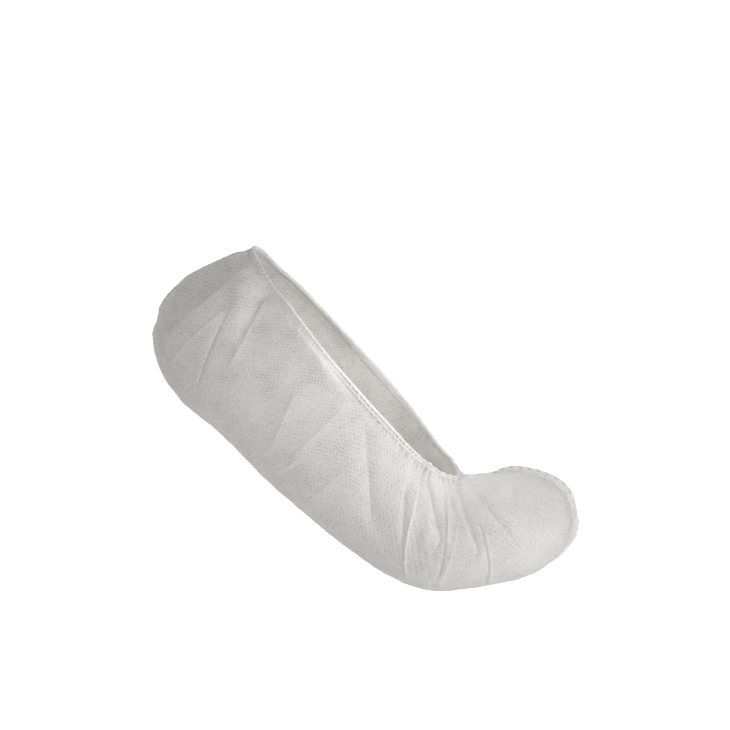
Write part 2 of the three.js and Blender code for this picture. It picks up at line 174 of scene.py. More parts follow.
FOLDS: tuple[Fold, ...] = (
    Fold("heel_crown", -57, 48.5, -82, 33, 0, 8, 6, 3.2, 1.6, 0),
    Fold("heel_valley", -51.8, 44.1, -78.3, 20.7, 0, 4.5, 3, -1.8, 1.5, 0),
    Fold("heel_valley_edge", -48.5, 41, -81, 16.7, 0.6, 3.3, 8, 3.4, 1.05, 0.6),
    Fold("heel_valley_end", -80.5, 17.5, -87, 0, -1.4, 1.2, 3, 0.7, 1.2, 0.5),
    Fold("notch_crease", -90.9, 14.4, -78.3, 19.8, 0, 1.3, 1.3, -1.7, 1.3, 0),
    Fold("notch_fall", -89.3, 14, -88, 3, 0, 1.3, 1.3, -1.5, 1.4, 0),
    Fold("heel_line", -60, 22, -86.9, -4, -1.6, 0.7, 0.8, 0.36, 1.4, 0.5),
    Fold("heel_drop", -58.5, 22, -73.8, -17.1, -1.4, 0.55, 0.65, -1, 1.2, 0),
    Fold("heel_drop_step", -58.5, 22, -73.8, -17.1, -1.4, 3, 7, 0.4, 1.1, 0),
    Fold("heel_pocket", -41.4, 33.3, -54, 9, 0.3, 3.5, 9, -2.7, 1.6, 0),
    Fold("heel_pocket_edge", -41.9, 27.5, -51.5, 10.5, 0.3, 2, 1.6, 0.8, 1.1, 0.6),
    Fold("heel_pocket_tail", -49, 14, -56.7, -0.9, 0, 1.2, 2, 0.6, 1.2, 0.6),
    Fold("heel_ridge", -49.5, 42.3, -57.6, 16.7, 0.5, 4, 4.5, 1.4, 2, 0.1),
    Fold("heel_arc", -59, -3.4, -45.9, -9.9, 1, 0.9, 0.9, 0.2, 1.4, 0.3),
    Fold("side_swell", -38, 31.5, -9, -10, 0, 8, 3, 2.2, 1.7, 0),
    Fold("waist_line", -28.4, 14.4, -36, -18.5, 0.5, 2.5, 2.5, 0.4, 1.5, 0),
    Fold("hem_ripple_top", -28.8, 14, -17, 0, 0, 3, 1.4, 0.7, 1.4, 0.4),
    Fold("hem_ripple", -18.5, 1.5, -5.5, -16, 0, 3, 1.4, 0.7, 1.4, 0.4),
    Fold("mid_ridge", -27.9, -11.3, -40.5, -41, 0.4, 2.4, 4, 0.82, 1.05, 0.45),
    Fold("mid_crease", -4.5, -18, -31.5, -43.7, 0, 3, 5, 1.1, 1.05, 0.55),
    Fold("mid_nick", -26, -42, -34.7, -49, 0, 0.8, 0.9, 0.4, 1.5, 0.7),
    Fold("mid_line", -3.2, -44.6, -21.6, -61.2, 0, 2.2, 4.5, 0.8, 1.05, 0.4),
    Fold("swell_top", -2, -29.7, -1, -48.6, 0, 6, 4, 0.3, 2, 0),
    Fold("swell_middle", -1, -46.4, 1, -71.1, 0, 6, 4, 0.3, 2, 0),
    Fold("swell_end", 0.5, -68.9, 8.6, -83.7, 0, 5, 3, 0.4, 2, 0),
    Fold("dent_top", 2.2, -28.4, 4.6, -74, 0.5, 4.8, 4.6, -2.1, 1.05, 0),
    Fold("dent_end", 4.2, -64, 12.6, -83.7, 0, 4, 4, -0.4, 1.6, 0),
    Fold("dent_edge", 20.3, -46.5, 19.4, -58.5, 0, 3, 1.2, 0.9, 1.4, 0.5),
    Fold("gather_one_valley", 20.5, -52, 18, -78, 0, 0.7, 1.1, -1.3, 1.2, 0),
    Fold("gather_one", 26.1, -54.5, 23, -67.1, 0, 1.6, 0.8, 0.8, 1.4, 0.8),
    Fold("gather_one_middle", 23.4, -65.7, 19.8, -87.3, -0.8, 0.8, 0.9, 0.8, 1.5, 1),
    Fold("gather_one_end", 19.8, -85.5, 21.2, -94.5, -0.4, 0.8, 0.8, 0.6, 1.5, 0.9),
    Fold("gather_one_shade", 27.5, -50.4, 23.9, -67, 0, 0.7, 1.2, -0.7, 1.4, 0),
    Fold("gather_one_dimple", 23.9, -73.4, 25.2, -85.5, 0, 1.6, 1.6, -0.7, 1.8, 0),
    Fold("gather_two", 30.6, -57.6, 30.2, -80.1, 0, 4, 1.8, 1, 2, 0.2),
    Fold("gather_three", 31, -50, 35.1, -77.6, -0.4, 0.7, 1.5, -1.9, 1.1, 0),
    Fold("gather_three_top", 31, -50, 33.2, -66, -0.2, 0.5, 0.7, -0.9, 1.2, 0),
    Fold("gather_three_hook", 35.2, -77, 32.4, -82.8, 0, 0.7, 0.9, -0.6, 1.4, 0),
    Fold("gather_four_shade", 36.9, -56.3, 37.4, -73.4, 0, 0.7, 0.9, -0.5, 1.4, 0),
    Fold("gather_four_valley", 37.4, -72, 32.4, -99, 1.3, 0.5, 0.45, -0.8, 1.1, 0),
    Fold("gather_four_pleat", 38.7, -56.7, 37.8, -82.4, 0.4, 0.8, 1.2, 0.6, 1.4, 0.8),
    Fold("gather_four", 42.8, -70.2, 34.2, -99, 1.5, 0.7, 1.8, 0.2, 1.4, 1),
    Fold("gather_four_nick", 39.6, -56.7, 41, -66.6, 0, 0.6, 0.7, -0.4, 1.4, 0),
    Fold("gather_five", 43.4, -53, 51.3, -82.4, -1.1, 0.7, 1.2, -1.5, 1.1, 0),
    Fold("gather_five_hook", 51.3, -82, 50, -86, 0, 0.7, 0.9, -0.5, 1.4, 0),
    Fold("gather_five_crest", 42.3, -60, 48.3, -77, -0.6, 2.5, 1, 0.5, 1.5, 0.3),
    Fold("gather_six", 51.8, -69.8, 55.8, -87.3, 0.3, 0.5, 0.5, -0.6, 1.2, 0),
    Fold("gather_six_end", 55.8, -86, 54.5, -98.1, 0.9, 0.5, 0.5, -0.55, 1.2, 0),
    Fold("gather_six_crest", 54.5, -73.4, 57.2, -88.2, 0.3, 0.8, 3, 0.3, 1.2, 0.9),
    Fold("gather_six_crest_end", 57.2, -86.9, 56.7, -98.1, 0.4, 0.8, 3, 0.3, 1.2, 0.9),
    Fold("gather_seven", 47.7, -53.6, 69.3, -80.6, 0, 0.8, 0.7, -0.65, 1.2, 0),
    Fold("gather_seven_crest", 54, -58.5, 68, -72.5, 0, 2.2, 2.2, 0.6, 1.8, 0.3),
    Fold("gather_eight", 56.3, -54, 75.6, -74.3, 0, 0.7, 1.3, -0.8, 1.15, 0),
    Fold("gather_eight_tail", 76, -72.5, 80.1, -75.2, 0, 0.8, 0.8, -0.4, 1.3, 0),
    Fold("toe_dent", 63, -55.4, 81, -71, 0, 5, 8, -2.3, 1.6, 0),
    Fold("toe_crown", 80, -64, 86, -74, 0, 7, 7, 0.6, 2, 0),
)


@dataclass(frozen=True)
class Stand:
    """Stand of an overlocked edge above the cloth, in millimetres, at a share of its run."""

    at: float
    stand: float


TOE_STAND: tuple[Stand, ...] = (
    Stand(0, 0.9), Stand(0.14, 2.9), Stand(0.45, 3.1), Stand(0.62, 2.5),
    Stand(0.72, 3.0), Stand(0.84, 1.6), Stand(1, 0.1),
)
HEEL_STAND: tuple[Stand, ...] = (
    Stand(0, 0.8), Stand(0.15, 2.3), Stand(0.37, 2.5), Stand(0.44, 0.8),
    Stand(0.5, 1.6), Stand(0.7, 1.2), Stand(1, 0.8),
)


def ramp(value: Rows | float, start: float, end: float) -> Rows:
    """Smooth step from 0 to 1.

    Args:
        value: what is eased.
        start: value up to which the result is 0.
        end: value from which it is 1, below the start where the step goes down.

    Returns:
        The eased values.
    """
    s = np.clip((value - start) / (end - start), 0.0, 1.0)
    return s * s * (3.0 - 2.0 * s)


def bell(value: Rows | float, middle: float, width: float) -> Rows:
    """Round hump of height 1 about a middle value."""
    return np.exp(-((value - middle) / width) ** 2)


def waver(run: Rows, waves: float, lane: float, level: float) -> Rows:
    """Smooth random values along a line.

    Args:
        run: length along it.
        waves: per unit of length.
        lane: place in the noise, which tells one line from another.
        level: second such place.

    Returns:
        Values about 0.
    """
    return np.array([noise.noise(Vector((r * waves, lane, level))) for r in run])


def unit(rows: Rows) -> Rows:
    """Vectors scaled to length one."""
    return rows / np.maximum(np.linalg.norm(rows, axis=-1, keepdims=True), 1e-12)


def run_along(points: Rows) -> Rows:
    """Length along a line up to each of its points."""
    return np.concatenate(((0.0,), np.cumsum(np.linalg.norm(np.diff(points, axis=0), axis=1))))


def read_at(want: Rows, run: Rows, rows: Rows) -> Rows:
    """Rows of a line, read at wanted lengths along it."""
    return np.stack([np.interp(want, run, rows[:, k]) for k in range(rows.shape[1])], axis=1)


def rolling_mean(rows: Rows, reach: int) -> Rows:
    """Mean over neighbours along a closed line.

    Args:
        rows: one row per point of the loop.
        reach: neighbours taken on each side.

    Returns:
        The averaged rows.
    """
    total = np.zeros_like(rows)
    for step in range(-reach, reach + 1):
        total += np.roll(rows, step, axis=0)
    return total / (2 * reach + 1)


def new_object(name: str, bm: Mesh, finish: Finish) -> Piece:
    """Puts a finished bmesh into the scene as a smooth object at the origin.

    Args:
        name: name of the object.
        bm: its mesh, freed here.
        finish: its material.

    Returns:
        The object.
    """
    mesh = bpy.data.meshes.new(name)
    bm.to_mesh(mesh)
    bm.free()
    mesh.materials.append(finish)
    mesh.polygons.foreach_set("use_smooth", [True] * len(mesh.polygons))
    obj = bpy.data.objects.new(name, mesh)
    bpy.context.scene.collection.objects.link(obj)
    return obj


def new_piece(name: str, bm: Mesh, finish: Finish, node: str = "") -> Piece:
    """Puts a finished bmesh into the scene as a piece of the sock.

    Args:
        name: name of the piece.
        bm: its mesh, freed here.
        finish: its material.
        node: CAD node that it stands for, if any.

    Returns:
        The piece.
    """
    obj = new_object(name, bm, finish)
    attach(obj, ROOT)
    if node:
        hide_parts(node)
    return obj


def lay_grid(bm: Mesh, columns: int, rows: int) -> dict[Vert, tuple[int, int]]:
    """Adds a flat grid, which is then laid over a form.

    Args:
        bm: empty mesh that gets it.
        columns: faces along it.
        rows: faces across it.

    Returns:
        Column and row of each vertex.
    """
    bmesh.ops.create_grid(bm, x_segments=columns, y_segments=rows, size=1.0)
    return {v: (round((v.co.x + 1) / 2 * columns), round((v.co.y + 1) / 2 * rows)) for v in bm.verts}


def lay_flat(bm: Mesh, places: dict[Vert, tuple[int, int]], along: float, across: float) -> None:
    """Gives the corners of a grid their places on the flat cloth.

    Args:
        bm: mesh of the grid.
        places: column and row of each vertex.
        along: distance of the columns, in metres.
        across: distance of the rows, in metres.
    """
    uv = bm.loops.layers.uv.new(FLAT_MAP)
    for face in bm.faces:
        for loop in face.loops:
            column, row = places[loop.vert]
            loop[uv].uv = (column * along, row * across)


class LineFinder:
    """Finds the nearest place on a line of points."""

    def __init__(self, line: Rows) -> None:
        """Sorts the line.

        Args:
            line: points in metres.
        """
        self.tree = kdtree.KDTree(len(line))
        for index, point in enumerate(line):
            self.tree.insert(Vector(point), index)
        self.tree.balance()

    def find(self, points: Rows) -> tuple[Rows, Rows]:
        """Nearest point of the line for each of some points.

        Args:
            points: in millimetres.

        Returns:
            Numbers of the nearest points, and the distances in millimetres.
        """
        found = [self.tree.find(Vector(point * MM)) for point in points]
        return np.array([hit[1] for hit in found]), np.array([hit[2] for hit in found]) / MM


class NodeSheet:
    """Short way to lay out the nodes of a material or of the air."""

    def __init__(self, owner: bpy.types.Material | bpy.types.World) -> None:
        """Starts without nodes.

        Args:
            owner: material or world that they belong to.
        """
        owner.use_nodes = True
        self.tree = owner.node_tree
        self.tree.nodes.clear()

    def node(self, kind: str, inputs: dict[str | int, object] | None = None,
             **settings: object) -> bpy.types.Node:
        """Adds a node.

        Args:
            kind: Blender's name of the node type, after ShaderNode.
            inputs: a value or a socket for each input, by name or number.
            **settings: properties of the node.

        Returns:
            The node.
        """
        made = self.tree.nodes.new("ShaderNode" + kind)
        for key, value in settings.items():
            setattr(made, key, value)
        for key, value in (inputs or {}).items():
            if isinstance(value, Socket):
                self.tree.links.new(value, made.inputs[key])
            else:
                made.inputs[key].default_value = value
        return made

    def attribute(self, name: str) -> Socket:
        """Value of a map on the mesh."""
        return self.node("Attribute", attribute_name=name).outputs["Fac"]

    def math(self, operation: str, a: Socket | float, b: Socket | float = 0.0) -> Socket:
        """Result of a math node."""
        return self.node("Math", {0: a, 1: b}, operation=operation).outputs[0]

    def vector(self, operation: str, a: Socket, b: Triple = (0.0, 0.0, 0.0)) -> bpy.types.Node:
        """Vector math node."""
        return self.node("VectorMath", {0: a, 1: b}, operation=operation)

    def span(self, value: Socket, low: float, high: float, to_low: float, to_high: float,
             shape: str = "SMOOTHSTEP") -> Socket:
        """Maps a range of values to another.

        Args:
            value: what is mapped.
            low: start of the range.
            high: end of the range.
            to_low: result at the start.
            to_high: result at the end.
            shape: Blender's name of the way between them.

        Returns:
            The mapped value.
        """
        limits = {"From Min": low, "From Max": high, "To Min": to_low, "To Max": to_high}
        return self.node("MapRange", {"Value": value, **limits}, interpolation_type=shape).outputs["Result"]

    def noise(self, scale: float, detail: float, grain: float = 0.6) -> Socket:
        """Noise on the object.

        Args:
            scale: waves per metre.
            detail: octaves.
            grain: how much each finer octave adds.

        Returns:
            Its value.
        """
        place = self.node("TexCoord").outputs["Object"]
        inputs = {"Vector": place, "Scale": scale, "Detail": detail, "Roughness": grain}
        return self.node("TexNoise", inputs).outputs["Fac"]

    def mix(self, factor: Socket, first: Socket | Triple, second: Triple) -> Socket:
        """Colour between two others.

        Args:
            factor: 0 for the first, 1 for the second.
            first: colour or socket.
            second: colour.

        Returns:
            The mixed colour.
        """
        start = first if isinstance(first, Socket) else (*first, 1)
        return self.node("Mix", {0: factor, 6: start, 7: (*second, 1)}, data_type="RGBA").outputs[2]

    def bump(self, rise: Socket, strength: float, distance: float) -> Socket:
        """Normal of a surface with fine relief.

        Args:
            rise: height of the relief, as a share.
            strength: how much of it shows.
            distance: height of a share of 1, in metres.

        Returns:
            The normal.
        """
        inputs = {"Strength": strength, "Distance": distance, "Height": rise}
        return self.node("Bump", inputs).outputs["Normal"]

    def show(self, shader: Socket, output: str = "OutputMaterial") -> None:
        """Joins a shader to the output."""
        self.node(output, {"Surface": shader})


@dataclass(frozen=True)
class ClothFinish:
    """White spunbond cloth with embossed dots.

    Attributes:
        name: name of the material.
        light, dark: colours of the raised cloth, and of its thin places and embossed dots.
        depth: depth of the dots, in metres.
        shine_through: share of the light that shines through.
        pit_shade_share: how strongly the painted shade in needle pits, between puckers and stitches, and in
            seam creases shows.
            folded, pitted: colours where the cloth lies double, also used for the painted highlights along
                crests, and of that painted shade.
        pitch: distance of the dots round the sock, in metres.
        spread: their distance along the sock, as a share of the pitch.
        dot: radius of a dot as a share of the pitch.
        turn, bias: turn of the dot pattern in degrees, and where the toe panel lies on the bias.
        bias_share: strength of the dots there.
        fibres, clouds, patches: waves per metre of fibres, thin places and wide cloudiness.
        fibre_shade, thin_shade, dot_shade: how far each goes to the dark colour.
        double_shade: share of this that is left where the cloth lies double.
        double_and_highlight_white, double_power: how far cloth that lies double, and the painted highlights,
            go to their own colour, and how late.
        fibre_rise: height of the fibres as a share of the depth of the dots.
        bump: how much of the relief shows.
    """

    name: str
    light: Triple
    dark: Triple
    depth: float = 0.00009
    shine_through: float = 0.36
    pit_shade_share: float = 0.85
    folded_and_highlight: Triple = (0.93, 0.93, 0.92)
    pit_shade: Triple = (0.42, 0.41, 0.4)
    pitch: float = 0.00122
    spread: float = 1.15
    dot: float = 0.3
    turn: float = 4.0
    bias: float = 47.0
    bias_share: float = 0.97
    fibres: float = 1500.0
    clouds: float = 160.0
    patches: float = 38.0
    fibre_shade: float = 0.5
    thin_shade: float = 0.17
    dot_shade: float = 0.56
    double_shade: float = 0.4
    double_and_highlight_white: float = 0.85
    double_power: float = 1.7
    fibre_rise: float = 0.55
    bump: float = 0.55

    def spots(self, sheet: NodeSheet, turn: float) -> Socket:
        """Lays out the embossed dots.

        Args:
            sheet: nodes of the material.
            turn: of the pattern, in degrees.

        Returns:
            One on a dot and zero between the dots.
        """
        lattice = sheet.node("Mapping", {
            "Vector": sheet.node("UVMap", uv_map=FLAT_MAP).outputs["UV"],
            "Scale": (1 / (self.pitch * self.spread), 1 / self.pitch, 1),
            "Rotation": (0, 0, math.radians(turn)),
        })
        cell = sheet.vector("FRACTION", lattice.outputs["Vector"])
        centred = sheet.vector("SUBTRACT", cell.outputs["Vector"], (0.5, 0.5, 0))
        level = sheet.vector("MULTIPLY", centred.outputs["Vector"], (1, 1, 0))
        away = sheet.vector("LENGTH", level.outputs["Vector"]).outputs["Value"]
        return sheet.span(away, self.dot * 0.55, self.dot * 1.35, 1.0, 0.0)

    def dots(self, sheet: NodeSheet, cloud: Socket, patch: Socket) -> Socket:
        """Joins both panels' dots and makes them uneven.

        Args:
            sheet: nodes of the material.
            cloud: the thin places.
            patch: the wide cloudiness.

        Returns:
            How strong a dot is at each place.
        """
        slant = sheet.attribute(SLANT_MAP)
        straight = sheet.math("MULTIPLY", self.spots(sheet, self.turn), sheet.math("SUBTRACT", 1.0, slant))
        share = sheet.math("MULTIPLY", slant, self.bias_share)
        dots = sheet.math("ADD", straight, sheet.math("MULTIPLY", self.spots(sheet, self.bias), share))
        dots = sheet.math("MULTIPLY", dots, sheet.span(cloud, 0.35, 0.65, 0.5, 1.1))
        return sheet.math("MULTIPLY", dots, sheet.span(patch, 0.35, 0.65, 0.7, 1.05))

    def paint(self, sheet: NodeSheet, fibre: Socket, cloud: Socket, patch: Socket, dots: Socket) -> Socket:
        """Mixes the colour of the cloth.

        Args:
            sheet: nodes of the material.
            fibre: the fibres.
            cloud: the thin places.
            patch: the wide cloudiness.
            dots: the embossed dots.

        Returns:
            The colour.
        """
        double = sheet.attribute(DOUBLE_AND_HIGHLIGHT_MAP)
        thin = sheet.math("ADD", sheet.math("MULTIPLY", cloud, 0.6), sheet.math("MULTIPLY", patch, 0.4))
        shade = sheet.math("ADD", sheet.span(thin, 0.34, 0.66, 0.0, self.thin_shade),
                           sheet.math("MULTIPLY", dots, self.dot_shade))
        shade = sheet.math("ADD", shade, sheet.span(fibre, 0.3, 0.7, -self.fibre_shade, self.fibre_shade))
        shade = sheet.math("MULTIPLY", shade, sheet.span(double, 0.0, 1.0, 1.0, self.double_shade))
        # Whiter where the cloth lies double, and painted highlights along fold and pucker crests and the
        # hem's edges.
        white = sheet.math("MULTIPLY", sheet.math("POWER", double, self.double_power), self.double_and_highlight_white)
        # Painted shade in needle pits, between puckers and stitches, and in seam creases.
        pit = sheet.math("MULTIPLY", sheet.attribute(PIT_SHADE_MAP), self.pit_shade_share)
        colour = sheet.mix(shade, self.light, self.dark)
        return sheet.mix(pit, sheet.mix(white, colour, self.folded_and_highlight), self.pit_shade)

    def make(self) -> Finish:
        """Builds the material.

        Returns:
            The material.
        """
        material = bpy.data.materials.new(self.name)
        sheet = NodeSheet(material)
        fibre = sheet.noise(self.fibres, detail=3)
        cloud = sheet.noise(self.clouds, detail=4)
        patch = sheet.noise(self.patches, detail=2)
        dots = self.dots(sheet, cloud, patch)
        paint = self.paint(sheet, fibre, cloud, patch, dots)
        rise = sheet.math("SUBTRACT", sheet.math("MULTIPLY", fibre, self.fibre_rise), dots)
        normal = sheet.bump(rise, self.bump, self.depth)
        shader = sheet.node("BsdfPrincipled", {
            "Base Color": paint,
            "Normal": normal,
            "Roughness": sheet.span(fibre, 0.3, 0.7, 0.74, 0.92),
            "Specular IOR Level": 0.3,
            "Sheen Weight": 0.1,
            "Sheen Roughness": 0.5,
        })
        through = sheet.node("BsdfTranslucent", {"Color": paint, "Normal": normal})
        both = {"Fac": self.shine_through, 1: shader.outputs["BSDF"], 2: through.outputs["BSDF"]}
        sheet.show(sheet.node("MixShader", both).outputs["Shader"])
        return material


@dataclass(frozen=True)
class ThreadFinish:
    """White polyester sewing thread.

    Attributes:
        name: name of the material.
        light, dark: colours of the thread, and of the painted shade between its plies.
        plies: waves per metre of the plies.
        depth: depth between them, in metres.
        bump: how much of it shows.
    """

    name: str
    light: Triple
    dark: Triple
    plies: float = 2600.0
    depth: float = 0.0001
    bump: float = 0.5

    def make(self) -> Finish:
        """Builds the material.

        Returns:
            The material.
        """
        material = bpy.data.materials.new(self.name)
        sheet = NodeSheet(material)
        ply = sheet.noise(self.plies, detail=2)
        shader = sheet.node("BsdfPrincipled", {
            # Painted shade between the plies, where the bump dips.
            "Base Color": sheet.mix(sheet.span(ply, 0.35, 0.65, 0.0, 1.0), self.light, self.dark),
            "Normal": sheet.bump(ply, self.bump, self.depth),
            "Roughness": sheet.span(ply, 0.3, 0.7, 0.5, 0.68),
            "Specular IOR Level": 0.4,
            "Sheen Weight": 0.1,
        })
        sheet.show(shader.outputs["BSDF"])
        return material


class SockForm:
    """Smooth form of the sock, through its sections."""

    def __init__(self, sections: Sequence[Section], squareness: float = 2.35, arc_points: int = 120,
                 wrap_places: int = 421) -> None:
        """Keeps the sections and measures how far the flat cloth runs on round the toe.

        Args:
            sections: from the top of the heel to the tip of the toe.
            squareness: 2 for round soles, more for squarer ones.
            arc_points: points of each arc of a section.
            wrap_places: places along the sock where the cloth is measured.
        """
        self.sections = sections
        self.power = 2.0 / squareness
        self.arc_points = arc_points
        self.names = [section.name for section in sections]
        self.throat = self.names.index("throat")
        self.tip = self.names.index("toe_tip")
        self.places = np.linspace(0.0, self.tip, wrap_places)
        ahead = np.diff([self.value("solex", at) for at in self.places])
        inward = np.diff([self.value("half", at) for at in self.places])
        more = np.where(self.places[1:] > self.throat, np.hypot(ahead, inward) - np.abs(ahead), 0.0)
        self.wrap = np.concatenate(((0.0,), np.cumsum(more)))

    def value(self, key: str, at: float) -> float:
        """Smooth curve through one column of the section table.

        Args:
            key: column.
            at: section number with a fraction.

        Returns:
            The value there.
        """
        last = len(self.sections) - 1
        index = min(last - 1, max(0, math.floor(at)))
        t = at - index
        a, b, c, d = (getattr(self.sections[min(last, max(0, k))], key) for k in range(index - 1, index + 3))
        into, out = (c - a) / 2, (d - b) / 2
        t2, t3 = t * t, t * t * t
        return ((2 * t3 - 3 * t2 + 1) * b + (t3 - 2 * t2 + t) * into
                + (3 * t2 - 2 * t3) * c + (t3 - t2) * out)

    def line(self, at: float, across: Rows) -> tuple[Rows, Rows]:
        """Points of one section.

        Args:
            at: section number with a fraction.
            across: places from -1, near, over the sole to 1, far.

        Returns:
            The points in millimetres, and their places on the flat cloth in millimetres.
        """
        half = max(0.0, self.value("half", at))
        mouth = 0.0 if at >= self.throat else min(half, max(0.0, self.value("mouth", at)))
        belly = min(1.0, self.value("belly", at))
        sweep = math.radians(min(90.0, self.value("sweep", at)))
        sole = np.array((self.value("solex", at), self.value("solez", at)))
        top = np.array((self.value("topx", at), self.value("topz", at)))
        deep = float(np.linalg.norm(top - sole))
        turn = np.linspace(0.0, sweep, self.arc_points)
        rise = 1.0 - max(0.0, math.cos(sweep)) ** self.power
        y = half * (np.sin(turn) / math.sin(sweep)) ** self.power
        depth = belly * (1.0 - np.maximum(0.0, np.cos(turn)) ** self.power) / rise
        lean = math.acos(min(1.0, mouth / half)) if half > 0 else math.pi / 2
        if belly < 1.0 and lean > 1e-3:
            up = np.linspace(0.0, lean, self.arc_points)[1:]
            y = np.concatenate((y, half * np.cos(up)))
            depth = np.concatenate((depth, belly + (1.0 - belly) * np.sin(up) / math.sin(lean)))
        run = run_along(np.stack((y, depth * deep), axis=1))
        want = np.abs(across) * run[-1]
        side = np.sign(across)
        share = np.interp(want, run, depth)
        points = np.stack((
            sole[0] + (top[0] - sole[0]) * share,
            side * np.interp(want, run, y),
            sole[1] + (top[1] - sole[1]) * share,
        ), axis=1)
        way = (top - sole) / deep if deep > 1e-6 else np.zeros(2)
        along = sole[0] + float(np.interp(at, self.places, self.wrap)) + FAR_FLAT * (side > 0)
        return points, np.stack((along + way[0] * want, sole[1] + way[1] * want), axis=1)

    def seam_points(self, stretches: Sequence[tuple[float, float, float, int]]) -> Rows:
        """Even points along a seam in the middle plane.

        Args:
            stretches: its stretches, each with the place across, the section numbers of its start and its
                end, and how many places are read between them.

        Returns:
            The points, in metres.
        """
        line = np.array([self.line(at, np.array((across,)))[0][0]
                         for across, start, end, count in stretches for at in np.linspace(start, end, count)])
        line *= MM
        line[:, 1] = 0.0
        run = run_along(line)
        even = read_at(np.linspace(0.0, run[-1], max(2, round(run[-1] / SEAM_STEP)) + 1), run, line)
        padded = np.pad(even, ((2, 2), (0, 0)), mode="edge")
        return sum(padded[k:k + len(even)] for k in range(5)) / 5.0

    def toe_points(self) -> Rows:
        """Points of the toe seam: over the top, round the tip and back under the toe."""
        tip, shoulder = self.tip - 0.02, self.names.index("toe_shoulder") - 0.2
        return self.seam_points(((1.0, self.throat + 1.35, tip, 80), (0.0, tip, shoulder, 40)))

    def heel_points(self) -> Rows:
        """Points of the heel seam, up the middle of the heel to just below the hem."""
        return self.seam_points(((0.0, self.names.index("heel_sole") + 0.1, 0.2, 90),))


@dataclass
class FoldField:
    """Heights of the folds over the smooth form, in millimetres.

    Attributes:
        folds: the folds of the near side.
        far_slide, far_scale: how far the far side's folds are moved, and their share of the height.
        far_width: least half width of a fold on the far side.
        far_double_and_highlight, far_line: how strong and how wide the whiter lines are there, as shares.
        line, line_shift: half width of the whiter line along a crest, a painted highlight where the cloth
            lies double, and its place left of the crest.
        fade: distance from the middle plane at which the folds are full.
        narrow, crease: half width and crest up to which a fold needs a fine mesh.
        fine_reach, fine_from: distances from its line, and from the middle plane, where it does.
    """

    folds: Sequence[Fold]
    far_slide: float = -5.0
    far_scale: float = 0.85
    far_width: float = 2.4
    far_double_and_highlight: float = 0.4
    far_line: float = 4.0
    line: float = 0.5
    line_shift: float = 0.15
    fade: float = 12.0
    narrow: float = 1.3
    crease: float = 1.15
    fine_reach: float = 0.9
    fine_from: float = 6.0

    def view_plane(self, points: Rows) -> tuple[Rows, Rows]:
        """Places of points in the view plane of their own side.

        Args:
            points: in millimetres.

        Returns:
            Distance to the right and distance up, in millimetres.
        """
        turn, lift = math.radians(AZIMUTH), math.radians(ELEVATION)
        x, y, z = points[:, 0], -np.abs(points[:, 1]), points[:, 2]
        right = x * math.cos(turn) + y * math.sin(turn)
        up = (-x * math.sin(turn) * math.sin(lift) + y * math.cos(turn) * math.sin(lift)
              + z * math.cos(lift))
        return right - np.where(points[:, 1] > 0, self.far_slide, 0.0), up

    def track(self, fold: Fold, right: Rows, up: Rows) -> tuple[Rows, Rows]:
        """Places of points along and across one fold.

        Args:
            fold: which fold.
            right: distance to the right in the view plane.
            up: distance up in the view plane.

        Returns:
            Share of the run, and distance to the left of it in millimetres.
        """
        run = np.array((fold.x1 - fold.x0, fold.z1 - fold.z0))
        length = float(np.linalg.norm(run))
        ux, uz = run / length
        dx, dz = right - fold.x0, up - fold.z0
        t = (dx * ux + dz * uz) / length
        return t, dx * -uz + dz * ux - fold.bow * 4.0 * t * (1.0 - t)

    def height(self, points: Rows) -> tuple[Rows, Rows]:
        """Summed height of the folds, and where they double the cloth and paint a highlight along their
        crests.

        Args:
            points: of the smooth form, in millimetres.

        Returns:
            One height, and one share of cloth that lies double or carries a painted highlight, per point.
        """
        right, up = self.view_plane(points)
        far = points[:, 1] > 0
        least = np.where(far, self.far_width, 0.0)
        width = np.where(far, self.far_line * self.line, self.line)
        share = np.where(far, self.far_double_and_highlight, 1.0)
        total = np.zeros(len(points))
        doubled_and_highlight = np.zeros(len(points))
        for fold in self.folds:
            t, off = self.track(fold, right, up)
            half = np.maximum(least, np.where(off > 0, fold.left, fold.right))
            ends = ramp(t, -0.1, 0.18) * ramp(t, 1.1, 0.74)
            total += fold.height * np.exp(-(np.abs(off) / half) ** fold.crest) * ends
            # Whiter line along each crest: cloth that lies double, and a painted highlight.
            doubled_and_highlight += share * fold.doubled_and_highlight * bell(off, self.line_shift, width) * ends
        fade = ramp(np.abs(points[:, 1]), 0.0, self.fade)
        scale = np.where(far, self.far_scale, 1.0) * fade
        return total * scale, np.clip(doubled_and_highlight * fade, 0.0, 1.0)

    def sharp(self, points: Rows) -> Rows:
        """Which places of the near side lie along a narrow or sharp fold.

        Args:
            points: of the smooth form, in millimetres.

        Returns:
            True where the mesh has to be fine.
        """
        right, up = self.view_plane(points)
        found = np.zeros(len(points), dtype=bool)
        for fold in self.folds:
            if min(fold.right, fold.left) <= self.narrow or fold.crest <= self.crease:
                t, off = self.track(fold, right, up)
                found |= (np.abs(off) < self.fine_reach) & (t > -0.08) & (t < 1.08)
        return found & (points[:, 1] < -self.fine_from)


@dataclass
class Thread:
    """Lays short stitches of sewing thread into one mesh.

    Attributes:
        radius: of the thread, in metres.
        sides: of its round.
    """

    radius: float = 0.00016
    sides: int = 7

    def lay(self, bm: Mesh, start: Rows, end: Rows) -> None:
        """Adds one stitch, thinner where it enters the cloth.

        Args:
            bm: mesh that gets it.
            start: in metres.
            end: in metres.
        """
        way = Vector(end - start)
        turn = way.to_track_quat("Z", "Y").to_matrix().to_4x4()
        matrix = Matrix.Translation(Vector((start + end) / 2)) @ turn
        made = bmesh.ops.create_cone(bm, cap_ends=True, segments=self.sides, radius1=self.radius,
                                     radius2=self.radius, depth=way.length, matrix=matrix)
        faces = dict.fromkeys(f for v in made["verts"] for f in v.link_faces)
        caps = [f for f in faces if len(f.verts) == self.sides]
        for cap in caps:
            bmesh.ops.inset_region(bm, faces=[cap], thickness=self.radius * 0.45, depth=self.radius * 0.6)


